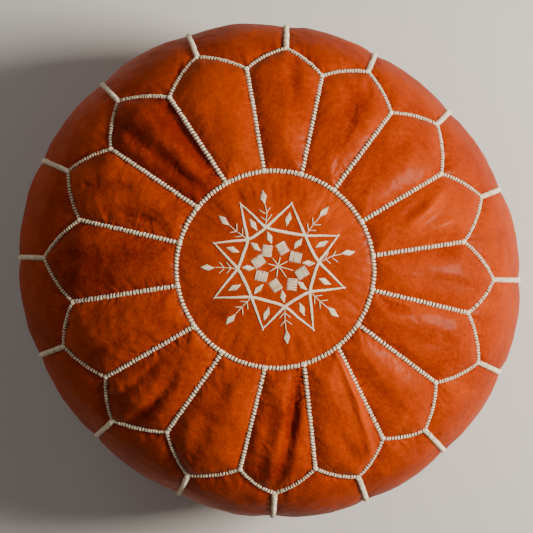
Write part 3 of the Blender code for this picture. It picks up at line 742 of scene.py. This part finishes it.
base_leather = make_leather("base_leather", (0.34, 0.060, 0.005), (0.12, 0.018, 0.002))
for name, side in (("base_half_left", 1), ("base_half_right", -1)):
    low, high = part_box(name)
    end = sqrt(BASE_RADIUS ** 2 - FOLD_NEAR ** 2)
    start_angle = np.arcsin(FOLD_NEAR / BASE_RADIUS)
    rim_angle = np.linspace(start_angle, pi - start_angle, BASE_COLUMNS + 1)
    arc = BASE_RADIUS * np.stack([np.cos(rim_angle), np.sin(rim_angle)], axis=-1)
    chord = np.stack([end * np.cos(rim_angle) / cos(start_angle),
                      np.full(len(rim_angle), FOLD_NEAR)], axis=-1)
    flange = [(0.0, FOLD_HEIGHT), (0.0, 0.0042), (0.0, 0.0022), (0.0003, 0.0011), (0.0010, 0.0004)]
    rows = []
    for away, height in flange:
        row = chord + (arc - chord) * away / BASE_RADIUS
        rows.append(np.column_stack([row, np.full(len(row), height)]))
    for step in range(BASE_ROWS + 1):
        share = 0.014 + 0.986 * step / BASE_ROWS
        row = chord + (arc - chord) * share
        rows.append(np.column_stack([row, np.full(len(row), BASE_LIFT)]))
    grid = np.array(rows)
    grid[..., 1] *= side
    if side > 0:
        grid = grid[:, ::-1]
    rumple = puckers(grid, draw, ("last",), 0.005, 0.030, 0.0006)
    rumple += 0.0004 * wander(grid, 0.035)
    grid[..., 2] += np.clip(rumple, 0, None) * np.where(np.arange(len(grid)) < 5, 0, 1)[:, None]
    panel = grid_mesh(name + "_leather", grid, np.zeros(grid.shape[:2]))
    weld(panel)
    panel.data.materials.append(base_leather)
    thicken(panel, LEATHER)
    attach(panel, "root")
    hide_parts(name)


# --- Braid over the seams -----------------------------------------------------------
# Every seam is covered by hand in thick cream thread: doubled stitches laid across a padding
# cord, side by side like a row of beads, and heaped a little where seams meet.

STITCH_PITCH = 0.0037
STITCH_WIDTH = 0.0050
STITCH_RISE = 0.0030
SCALLOP_PITCH = STITCH_PITCH * 0.88
SCALLOP_WIDTH = STITCH_WIDTH * 0.86
SIDE_WIDTH = STITCH_WIDTH * 1.12
STRANDS = 2              # threads in one stitch
THREAD = 0.00069         # radius of one thread
PADDING_CORD = 0.0010    # radius of the cord under the stitches
SUNK = 0.0004            # how far a stitch's ends go into the leather
KNOT_REACH = 0.0027
BRAID_FOOT = 0.012       # height above the floor where the side seams' braid ends
SIDES = 6                # flat sides of a thread's tube


def thread_mesh(name, lines, radii, upward, finishes=None):
    """Many short threads as one piece: each a tube along its line, closed at both ends.
    A thread's finish is the number of its material."""
    lines = np.array(lines)
    count, steps = lines.shape[:2]
    run = np.gradient(lines, axis=1)
    run /= np.linalg.norm(run, axis=-1, keepdims=True)
    up = np.array(upward)[:, None, :] + np.zeros_like(run)
    across = np.cross(run, up)
    across /= np.linalg.norm(across, axis=-1, keepdims=True)
    up = np.cross(across, run)
    ends = np.ones(steps)
    ends[0] = ends[-1] = 0.55
    size = np.array(radii)[:, None] * ends
    turn = np.arange(SIDES) * tau / SIDES
    ring = across[:, :, None] * np.cos(turn)[:, None] + up[:, :, None] * np.sin(turn)[:, None]
    points = lines[:, :, None] + ring * size[:, :, None, None]
    number = np.arange(count * steps * SIDES).reshape(count, steps, SIDES)
    following = np.roll(number, -1, axis=2)
    quads = np.stack([number[:, :-1], following[:, :-1], following[:, 1:], number[:, 1:]], axis=-1)
    faces = quads.reshape(-1, 4).tolist()
    faces += number[:, 0, ::-1].tolist() + number[:, -1].tolist()
    mesh = bpy.data.meshes.new(name)
    mesh.from_pydata(points.reshape(-1, 3).tolist(), [], faces)
    if finishes is not None:
        finish = np.concatenate([np.repeat(finishes, (steps - 1) * SIDES), finishes, finishes])
        mesh.polygons.foreach_set("material_index", finish.astype(np.int32))
    mesh.shade_smooth()
    return add_object(name, mesh)


def make_thread(name, light, dark):
    """Waxed cotton thread: twisted plies, a little dirt between them, and a faint fuzz."""
    yarn = Finish(name)
    patches = yarn.texture("Noise", Scale=240, Detail=4).outputs["Fac"]
    fibres = yarn.texture("Noise", Scale=2600, Detail=3).outputs["Fac"]
    yarn.colour(patches, dark, light, 0.32, 0.62)
    yarn.bump(fibres, 0.6, 0.0002)
    yarn.fix({"Roughness": 0.62, "Sheen Weight": 0.2, "Sheen Roughness": 0.5})
    return yarn.material


cream = make_thread("cream_thread", (1.0, 0.88, 0.66), (0.84, 0.69, 0.46))
# The padding cord is cream thread; its dark brown colour is painted shade for the gaps between the
# stitches.
cord_painted_shade = make_thread("padding_cord_painted_shade", (0.36, 0.26, 0.15), (0.20, 0.12, 0.06))


def spaced(points, pitch):
    """Points an even pitch apart along a line of points, and how far along each is (0 to 1)."""
    step = np.linalg.norm(np.diff(points[:, :3], axis=0), axis=1)
    length = np.concatenate([[0.0], np.cumsum(step)])
    count = max(int(round(length[-1] / pitch)), 1)
    at = (np.arange(count) + 0.5) * length[-1] / count
    even = np.column_stack([np.interp(at, length, points[:, axis]) for axis in range(points.shape[1])])
    return even, at / length[-1]


class Braid:
    """Threads of one run of braid after another, gathered for one piece."""

    def __init__(self):
        self.lines = []
        self.radii = []
        self.upward = []
        self.finishes = []

    def lay(self, line, radius, up, finish=0):
        self.lines.append(line)
        self.radii.append(radius)
        self.upward.append(up)
        self.finishes.append(finish)

    def run(self, places, pinch, pitch, width):
        """Stitches across a seam, over the cord that pads it."""
        seam = skin_point(places, -pinch)
        joined, shares = spaced(np.column_stack([seam, skin_normal(places)]), pitch)
        points = joined[:, :3]
        normals = joined[:, 3:]
        along = np.gradient(points, axis=0)
        along /= np.linalg.norm(along, axis=1, keepdims=True)
        bow = np.linspace(-1, 1, 8)
        for point, up, ahead in zip(points, normals, along):
            aside = np.cross(up, ahead)
            lean = radians(draw.uniform(4, 16))
            aside = aside * cos(lean) + ahead * sin(lean)
            wide = width * draw.uniform(0.93, 1.07)
            high = STITCH_RISE * draw.uniform(0.92, 1.08)
            shift = ahead * draw.normal(0, 0.00012)
            thick = THREAD * min(1.0, width / STITCH_WIDTH)
            for strand in range(STRANDS):
                offset = ahead * (strand - (STRANDS - 1) / 2) * thick * 1.6
                rise = high * np.cos(bow * pi / 2) ** 0.62 - SUNK + draw.uniform(-0.0001, 0.0001)
                slip = draw.normal(0, 0.00018)
                line = point + shift + offset + aside * (bow[:, None] * wide / 2 + slip)
                line = line + up * rise[:, None]
                self.lay(line, thick * draw.uniform(0.94, 1.06), up)
        # The padding cord shows between the stitches, coloured dark brown as painted shade.
        for start in range(0, len(points) - 1):
            share = np.linspace(-0.1, 1.1, 8)[:, None]
            line = points[start] + (points[start + 1] - points[start]) * share + normals[start] * 0.0003
            self.lay(line, PADDING_CORD, normals[start], 1)

    def knot(self, place, pinch, turn):
        """Extra stitches heaped where seams meet."""
        point = skin_point(place, -pinch)
        up = skin_normal(place)
        bow = np.linspace(-1, 1, 8)
        for strand in range(3):
            angle = turn + radians(62 * strand)
            level = np.cross(up, np.cross(np.array((cos(angle), sin(angle), 0.0)), up))
            level /= np.linalg.norm(level)
            rise = (STITCH_RISE + 0.0003 * strand) * np.cos(bow * pi / 2) ** 0.6 - SUNK
            self.lay(point + level * bow[:, None] * KNOT_REACH + up * rise[:, None], THREAD * 1.15, up)

    def finish(self, name, node):
        piece = thread_mesh(name, self.lines, self.radii, self.upward, np.array(self.finishes))
        piece.data.materials.append(cream)
        piece.data.materials.append(cord_painted_shade)
        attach(piece, "root")
        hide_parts(node)


ring_braid = Braid()
ring = np.concatenate([petal[0, :-1] for petal in petal_grids] + [petal_grids[0][:1, 0]])
ring[:, 0] = np.unwrap(ring[:, 0])
ring_braid.run(ring, SEAM_PINCH, STITCH_PITCH, STITCH_WIDTH)
ring_braid.finish("braid_round_medallion", "medallion_braid")
half = COLUMNS // 2
for panel in range(PANELS):
    petal = petal_grids[panel]
    before = petal_grids[panel - 1]
    seam = side_grids[panel][:, -1]
    above = seam[skin_point(seam)[:, 2] > BRAID_FOOT]
    braid = Braid()
    braid.knot(petal[0, 0], SEAM_PINCH, petal[0, 0, 0])
    braid.run(petal[:, 0], SEAM_PINCH, STITCH_PITCH, STITCH_WIDTH)
    braid.run(before[-1, half:], SEAM_PINCH, SCALLOP_PITCH, SCALLOP_WIDTH)
    braid.run(petal[-1, :half + 1], SEAM_PINCH, SCALLOP_PITCH, SCALLOP_WIDTH)
    braid.knot(petal[-1, 0], SEAM_PINCH, petal[0, 0, 0])
    braid.knot(petal[-1, half], SEAM_PINCH, petal[0, 0, 0] + 0.5)
    braid.run(above, SIDE_PINCH, STITCH_PITCH, SIDE_WIDTH)
    braid.finish(f"braid_{panel + 1:02d}", f"seam_braid_{panel + 1:02d}")


# --- Embroidery on the medallion ----------------------------------------------------
# The medallion is embroidered in the same cream thread, through the leather: a star of eight
# points in stem stitch, with satin-stitch squares and rhombi, and a sprig outside each crossing.

STAR_CENTRE = np.array((0.0087, 0.0046))
TIP_ANGLE = (121, 78, 27, -18, -61, -104, -154, -200)
TIP_REACH = (75, 66, 69, 71, 74, 66, 73, 70)               # mm
CROSSING_ANGLE = (107, 49, 6, -39, -81, -131, -177, -221)
CROSSING_REACH = 42
SQUARE_ANGLE = (126, 78, 28, -15, -53, -99, -150, -194)
SQUARE_REACH = (20, 19, 20, 25, 23, 20, 20, 21)
LEAF_ANGLE = (102, 50, 11, -40, -83, -132, -179, -220)
FINE_THREAD = 0.00042
SQUARE_SIDE = 0.0112
SQUARE_GAP = 0.00108     # between one satin stitch and the next
LEAF_GAP = 0.00094
STEM_GAP = 0.0021
STAR_LINE_WIDTH = 0.0022
BRANCH = 0.0083

medallion = cover["medallion"]
rows, columns = medallion.shape[:2]
number = np.arange(rows * columns).reshape(rows, columns)
quads = np.stack([number[:-1, :-1], number[1:, :-1], number[1:, 1:], number[:-1, 1:]], axis=-1)
ground = BVHTree.FromPolygons([Vector(point) for point in medallion.reshape(-1, 3)],
                              quads.reshape(-1, 4).tolist())
embroidery_lines = []
embroidery_radii = []


def star_point(degrees, millimetres):
    """Flat point given from the star's centre."""
    return STAR_CENTRE + spoke(radians(degrees), millimetres / 1000)


def sew(start, end, radius=FINE_THREAD):
    """One stitch laid on the leather, its ends pulled through."""
    line = []
    for share in np.linspace(0, 1, 7):
        flat = start + (end - start) * share
        hit = ground.ray_cast(Vector((flat[0], flat[1], 1.0)), Vector((0, 0, -1)))[0]
        height = hit.z if hit else HEIGHT
        lift = radius * (1.2 * abs(sin(pi * share)) ** 0.25 - 0.3)
        line.append((flat[0], flat[1], height + lift))
    embroidery_lines.append(line)
    embroidery_radii.append(radius)


def jitter(size=0.00018):
    return draw.normal(0, size, 2)


def satin(corner, first_side, second_side, gap):
    """A rhombus filled with stitches side by side, each as long as its first side."""
    count = max(int(round(np.linalg.norm(second_side) / gap)), 2)
    for stitch in range(count + 1):
        start = corner + second_side * stitch / count
        sew(start + jitter(), start + first_side + jitter(), FINE_THREAD * draw.uniform(0.88, 1.12))


def rhombus(centre, degrees, length, width):
    """A satin rhombus with its long way at an angle."""
    ahead = spoke(radians(degrees), length / 2000)
    aside = spoke(radians(degrees + 90), width / 2000)
    satin(centre - ahead, ahead + aside, ahead - aside, LEAF_GAP)


def stem_stitch(points, widest):
    """Slanting stitches that overlap along a line, widest in its middle."""
    path, shares = spaced(points, STEM_GAP)
    along = np.gradient(path, axis=0)
    along /= np.linalg.norm(along, axis=1, keepdims=True)
    for point, ahead, share in zip(path, along, shares):
        aside = np.array((-ahead[1], ahead[0]))
        wide = 0.0004 + (widest - 0.0004) * sin(pi * share) ** 0.8
        for offset in (-0.25, 0.25):
            middle = point + aside * wide * offset
            reach = ahead * 0.0030 + aside * wide * 0.42
            sew(middle - reach + jitter(0.0001), middle + reach + jitter(0.0001))


for tip in range(8):
    over = (tip + 1) % 8
    last = (tip + 2) % 8
    crossings = [star_point(CROSSING_ANGLE[each], CROSSING_REACH) for each in (tip, over)]
    ends = [star_point(TIP_ANGLE[each], TIP_REACH[each]) for each in (tip, last)]
    corners = np.array([
        ends[0],
        (ends[0] + crossings[0]) / 2,
        crossings[0],
        STAR_CENTRE + (crossings[0] + crossings[1] - 2 * STAR_CENTRE) / 2 * 0.975,
        crossings[1],
        (ends[1] + crossings[1]) / 2,
        ends[1],
    ])
    stem_stitch(between(corners, 8), STAR_LINE_WIDTH)
    rhombus(star_point(TIP_ANGLE[tip], 50), TIP_ANGLE[tip] + draw.uniform(-6, 6), 15, 6)
    rhombus(star_point(CROSSING_ANGLE[tip], 31), CROSSING_ANGLE[tip] + draw.uniform(-6, 6), 14, 6)

    # A square of satin stitch, its corner to the middle, and a ray out to that corner.
    middle = star_point(SQUARE_ANGLE[tip], SQUARE_REACH[tip])
    turned = radians(SQUARE_ANGLE[tip] + 45 + draw.uniform(-4, 4))
    side = spoke(turned, SQUARE_SIDE)
    other = spoke(turned - pi / 2, SQUARE_SIDE)
    if tip % 2:
        side, other = other, side
    satin(middle - (side + other) / 2, side, other, SQUARE_GAP)
    inner = star_point(SQUARE_ANGLE[tip], SQUARE_REACH[tip] - 9)
    sew(STAR_CENTRE + jitter(0.0003), inner, FINE_THREAD * 1.2)

    # The sprig: a stem with two pairs of branches, and a leaf.
    outward = LEAF_ANGLE[tip]
    sew(star_point(CROSSING_ANGLE[tip], CROSSING_REACH + 2), star_point(outward, 56))
    sew(star_point(outward, 55), star_point(outward, 67))
    for fork in (48, 55.5):
        root = star_point((outward * 2 + CROSSING_ANGLE[tip]) / 3, fork)
        for lean in (-48, 48):
            sew(root + jitter(), root + spoke(radians(outward + lean), BRANCH) + jitter())
    rhombus(star_point(outward, 73), outward, 15, 6.5)

star = thread_mesh("star_embroidery", embroidery_lines, embroidery_radii,
                   [(0.0, 0.0, 1.0)] * len(embroidery_lines))
star.data.materials.append(cream)
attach(star, "root")


# --- Zip ----------------------------------------------------------------------------
# A brown nylon coil zip is sewn behind the folded edges. Each woven tape carries one coil row
# with metal stops at its ends, and a brass slider with a pull tab runs along the coils.

TAPE_BROWN = (0.20, 0.072, 0.024)
COIL_PITCH = 0.0015
COIL_HEIGHT = 0.0056
COIL_RISE = 0.0004
COIL_WIRE = 0.0003       # radius of the monofilament
COIL_SETBACK = 0.003     # from the row's end to its first tooth
STOP_LENGTH = 0.0023
STOP_WIDTH = 0.0018
STOP_EDGE = 0.00035


def tinted(colour, share):
    return tuple(share * part for part in colour)


def make_tape(name, colour):
    """Woven polyester tape: fine ribs across it, crossed by the weft."""
    cloth = Finish(name)
    warp = cloth.texture("Wave", Scale=520)
    warp.bands_direction = "Y"
    weft = cloth.texture("Wave", Scale=420)
    weft.bands_direction = "X"
    worn = cloth.texture("Noise", Scale=90, Detail=4).outputs["Fac"]
    weave = cloth.tree.nodes.new("ShaderNodeMath")
    weave.operation = "MULTIPLY"
    cloth.link(warp.outputs["Fac"], weave.inputs[0])
    cloth.link(weft.outputs["Fac"], weave.inputs[1])
    faded = cloth.blend(worn, 0.6, weave.outputs[0])
    cloth.colour(faded, tinted(colour, 0.5), tinted(colour, 1.25))
    cloth.bump(weave.outputs[0], 0.7, 0.0002)
    cloth.fix({"Roughness": 0.8, "Sheen Weight": 0.15})
    return cloth.material


def make_nylon(name, colour):
    """Moulded nylon monofilament: smooth, a little cloudy where it has rubbed."""
    filament = Finish(name)
    rubbed = filament.texture("Noise", Scale=350, Detail=4).outputs["Fac"]
    filament.colour(rubbed, tinted(colour, 0.7), tinted(colour, 1.4))
    filament.roughness(rubbed, 0.25, 0.5)
    return filament.material


def make_brass(name):
    """Plated brass, rubbed bright in places and tarnished in others, finely scratched."""
    metal = Finish(name)
    tarnish = metal.texture("Noise", Scale=260, Detail=6).outputs["Fac"]
    scratch = metal.texture("Noise", Scale=1800, Distortion=1.5).outputs["Fac"]
    metal.colour(tarnish, (0.30, 0.19, 0.07), (0.74, 0.52, 0.24), 0.35, 0.62)
    metal.roughness(tarnish, 0.5, 0.22)
    metal.bump(scratch, 0.25, 0.00008)
    metal.fix({"Metallic": 1.0})
    return metal.material


tape_cloth = make_tape("zip_tape_weave", TAPE_BROWN)
nylon = make_nylon("zip_coil_nylon", (0.15, 0.055, 0.020))
brass = make_brass("zip_brass")

for name in ("zip_tape_left", "zip_tape_right"):
    low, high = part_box(name)
    # Ribs run along the tape, and it waves a little between its stitches.
    count = 48
    across = np.linspace(0, 1, count + 1)
    rib = 0.00006 * np.cos(across * tau * 12)
    stations = np.linspace(low.x, high.x, 90)
    rows = []
    for x in stations:
        wave = 0.00012 * sin(x * 210)
        upper = np.column_stack([np.full(count + 1, x), low.y + (high.y - low.y) * across,
                                 high.z - 0.0001 + rib + wave])
        lower = upper[::-1].copy()
        lower[:, 2] = low.z + 0.0001 - rib[::-1] + wave
        rows.append(np.concatenate([upper, lower, upper[:1]]))
    grid = np.array(rows)
    tape = grid_mesh(name + "_woven", grid)
    weld(tape, close_ends=True)
    tape.data.materials.append(tape_cloth)
    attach(tape, "root")
    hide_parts(name)

for name in ("zip_coil_left", "zip_coil_right"):
    low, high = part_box(name)
    middle_y = (low.y + high.y) / 2
    reach_y = (high.y - low.y) / 2 - COIL_WIRE
    turns = int((high.x - low.x - 2 * COIL_SETBACK) / COIL_PITCH)
    angle = np.linspace(0, turns * tau, turns * 12 + 1)
    path = np.column_stack([
        low.x + COIL_SETBACK + angle / tau * COIL_PITCH,
        middle_y + reach_y * np.sign(np.cos(angle)) * np.abs(np.cos(angle)) ** 0.7,
        COIL_HEIGHT + COIL_RISE * np.sin(angle),
    ])
    coil = thread_mesh(name + "_teeth", [path], [COIL_WIRE], [(1.0, 0.0, 0.0)])
    # A folded metal stop grips each end of the row.
    row = bmesh.new()
    row.from_mesh(coil.data)
    for x in (low.x + 0.00125, high.x - 0.00125):
        block = bmesh.ops.create_cube(row, size=1.0)["verts"]
        for vertex in block:
            vertex.co = Vector((x + vertex.co.x * STOP_LENGTH, middle_y + vertex.co.y * STOP_WIDTH,
                                (low.z + 0.0063) / 2 + vertex.co.z * (0.0062 - low.z)))
        edges = list({edge for vertex in block for edge in vertex.link_edges})
        bmesh.ops.bevel(row, geom=edges, offset=STOP_EDGE, segments=3, affect="EDGES", profile=0.5)
    for face in row.faces:
        if all(abs(vertex.co.x) > high.x - 0.0026 for vertex in face.verts):
            face.material_index = 1
    row.to_mesh(coil.data)
    row.free()
    coil.data.materials.append(nylon)
    coil.data.materials.append(brass)
    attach(coil, "root")
    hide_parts(name)

for name in ("zip_slider", "zip_pull"):
    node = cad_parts[name]
    node.data.materials.clear()
    node.data.materials.append(brass)

# A row of cream lockstitch holds each folded edge to its tape.
ZIP_ROW_END = 0.158      # from the zip's middle to the end of its stitching
ZIP_ROW_AWAY = 0.0098
ZIP_STITCH = 0.0028
ZIP_STITCH_PITCH = 0.0034
ZIP_THREAD = 0.00035
for side in (-1, 1):
    seam_lines = []
    for x in np.arange(-ZIP_ROW_END, ZIP_ROW_END, ZIP_STITCH_PITCH):
        share = np.linspace(0, 1, 7)
        line = np.column_stack([x + share * ZIP_STITCH, np.full(7, side * ZIP_ROW_AWAY),
                                0.00042 + 0.0004 * (1 - np.sin(pi * share) ** 0.4)])
        seam_lines.append(line)
    row = thread_mesh(f"zip_stitches_{'right' if side < 0 else 'left'}", seam_lines,
                      [ZIP_THREAD] * len(seam_lines), [(0.0, 0.0, -1.0)] * len(seam_lines))
    row.data.materials.append(cream)
    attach(row, "root")


# --- Lining and stuffing ------------------------------------------------------------
# Inside the leather hangs a bag of unbleached cotton, open at the zip. It is packed hard with
# cotton wadding, which fills it in lumps right out to the leather.

def make_cotton(name, light, dark, threads_per_metre):
    """Plain-woven cotton: a fine check of threads, slubs, and creases pressed in."""
    cloth = Finish(name)
    slubs = cloth.texture("Noise", Scale=60, Detail=6, Roughness=0.7).outputs["Fac"]
    threads = cloth.texture("Voronoi", Scale=threads_per_metre).outputs["Distance"]
    cloth.colour(slubs, dark, light, 0.3, 0.7)
    cloth.bump(threads, 0.5, 0.0005)
    cloth.fix({"Roughness": 0.9, "Sheen Weight": 0.3})
    return cloth.material


lining_low, lining_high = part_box("lining")
MOUTH = 0.0135           # half the width of the bag's mouth, beside the tapes
MOUTH_TUCK = 0.985       # how far the mouth is drawn in


def bag_grid(low, high, around, rumple):
    """Rounds of points from the top's middle down to the mouth over the zip."""
    angle = np.linspace(0, tau, around + 1)
    squeeze = (high.x - low.x) / (2 * OUTER_RADIUS * (1 + OVAL * cos(2 * OVAL_LONG_WAY) + CORNERS))
    rows = []
    for down in np.linspace(0.004, FOOT_LENGTH, 60):
        point = skin_point(np.stack([angle, np.full(around + 1, down)], axis=-1))
        point[:, :2] *= squeeze
        point[:, 2] = low.z + point[:, 2] * (high.z - low.z) / HEIGHT
        rows.append(point)
    edge = rows[-1]
    for share in np.linspace(0, 1, 20)[1:]:
        mouth = np.column_stack([edge[:, 0], np.clip(edge[:, 1], -MOUTH, MOUTH)])
        mouth *= MOUTH_TUCK
        flat = edge[:, :2] + (mouth - edge[:, :2]) * share
        rows.append(np.column_stack([flat, np.full(len(flat), low.z)]))
    grid = np.array(rows)
    grid[:, -1] = grid[:, 0]
    inward = np.abs(wander(grid, 0.05)) * rumple
    inward[:, -1] = inward[:, 0]
    return grid - grid_normals(grid) * inward[..., None]


bag = grid_mesh("lining_bag", bag_grid(lining_low, lining_high, 144, 0.0015))
bag.data.materials.append(make_cotton("lining_cotton", (0.76, 0.71, 0.60), (0.60, 0.54, 0.43), 1400))
thicken(bag, 0.0008)
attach(bag, "root")
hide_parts("lining")

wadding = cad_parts["stuffing"].copy()
wadding.data = wadding.data.copy()
wadding.name = "cotton_wadding"
bpy.context.scene.collection.objects.link(wadding)
wadding.parent = None
for key in list(wadding.keys()):
    del wadding[key]
remesh = wadding.modifiers.new("remesh", "REMESH")
remesh.mode = "VOXEL"
remesh.voxel_size = 0.006
lumpy = bpy.data.meshes.new_from_object(wadding.evaluated_get(bpy.context.evaluated_depsgraph_get()))
wadding.modifiers.clear()
wadding.data = lumpy
fluff = np.zeros(len(lumpy.vertices) * 3)
fluff_out = np.zeros(len(lumpy.vertices) * 3)
lumpy.vertices.foreach_get("co", fluff)
lumpy.vertices.foreach_get("normal", fluff_out)
depth = 0.0006 + 0.0020 * np.abs(wander(fluff.reshape(-1, 1, 3), 0.03))
lumpy.vertices.foreach_set("co", (fluff - fluff_out * np.repeat(depth, 3)))
lumpy.shade_smooth()
lumpy.materials.clear()
lumpy.materials.append(make_cotton("cotton_fluff", (0.86, 0.84, 0.80), (0.68, 0.65, 0.60), 500))
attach(wadding, "root")
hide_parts("stuffing")


# --- Floor, light and camera --------------------------------------------------------
# The pouf stands on a pale plaster floor, seen from straight above, with one broad soft lamp
# low on its right and a weak fill.

floor_mesh = bpy.data.meshes.new("floor")
floor_mesh.from_pydata([(-6, -6, 0), (6, -6, 0), (6, 6, 0), (-6, 6, 0)], [], [(0, 1, 2, 3)])
floor = add_object("floor", floor_mesh)
plaster = Finish("pale_floor")
cloudy = plaster.texture("Noise", Scale=3).outputs["Fac"]
plaster.colour(cloudy, (0.66, 0.65, 0.62), (0.72, 0.71, 0.69))
plaster.fix({"Roughness": 0.85})
floor.data.materials.append(plaster.material)
floor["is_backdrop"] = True


def lamp(name, place, size, power, colour):
    """A square soft lamp, turned to the pouf."""
    light = bpy.data.lights.new(name, "AREA")
    light.size = size
    light.energy = power
    light.color = colour
    stand = add_object(name, light)
    stand.location = place
    stand.rotation_euler = (Vector((0, 0, 0.2)) - Vector(place)).to_track_quat("-Z", "Y").to_euler()


lamp("key", (1.50, 0.16, 1.38), 0.55, 70, (1.0, 0.93, 0.82))
lamp("fill", (-1.3, 1.0, 1.5), 1.8, 7, (1.0, 0.95, 0.9))
world = bpy.data.worlds.new("room")
world.use_nodes = True
world.node_tree.nodes["Background"].inputs["Color"].default_value = (0.92, 0.90, 0.86, 1)
world.node_tree.nodes["Background"].inputs["Strength"].default_value = 0.10
bpy.context.scene.world = world

lens = bpy.data.cameras.new("camera")
lens.sensor_width = 36
lens.lens = 123
camera = add_object("camera", lens)
camera.location = (-0.0033, 0.0045, 2.2)
bpy.context.scene.camera = camera

low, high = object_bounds()
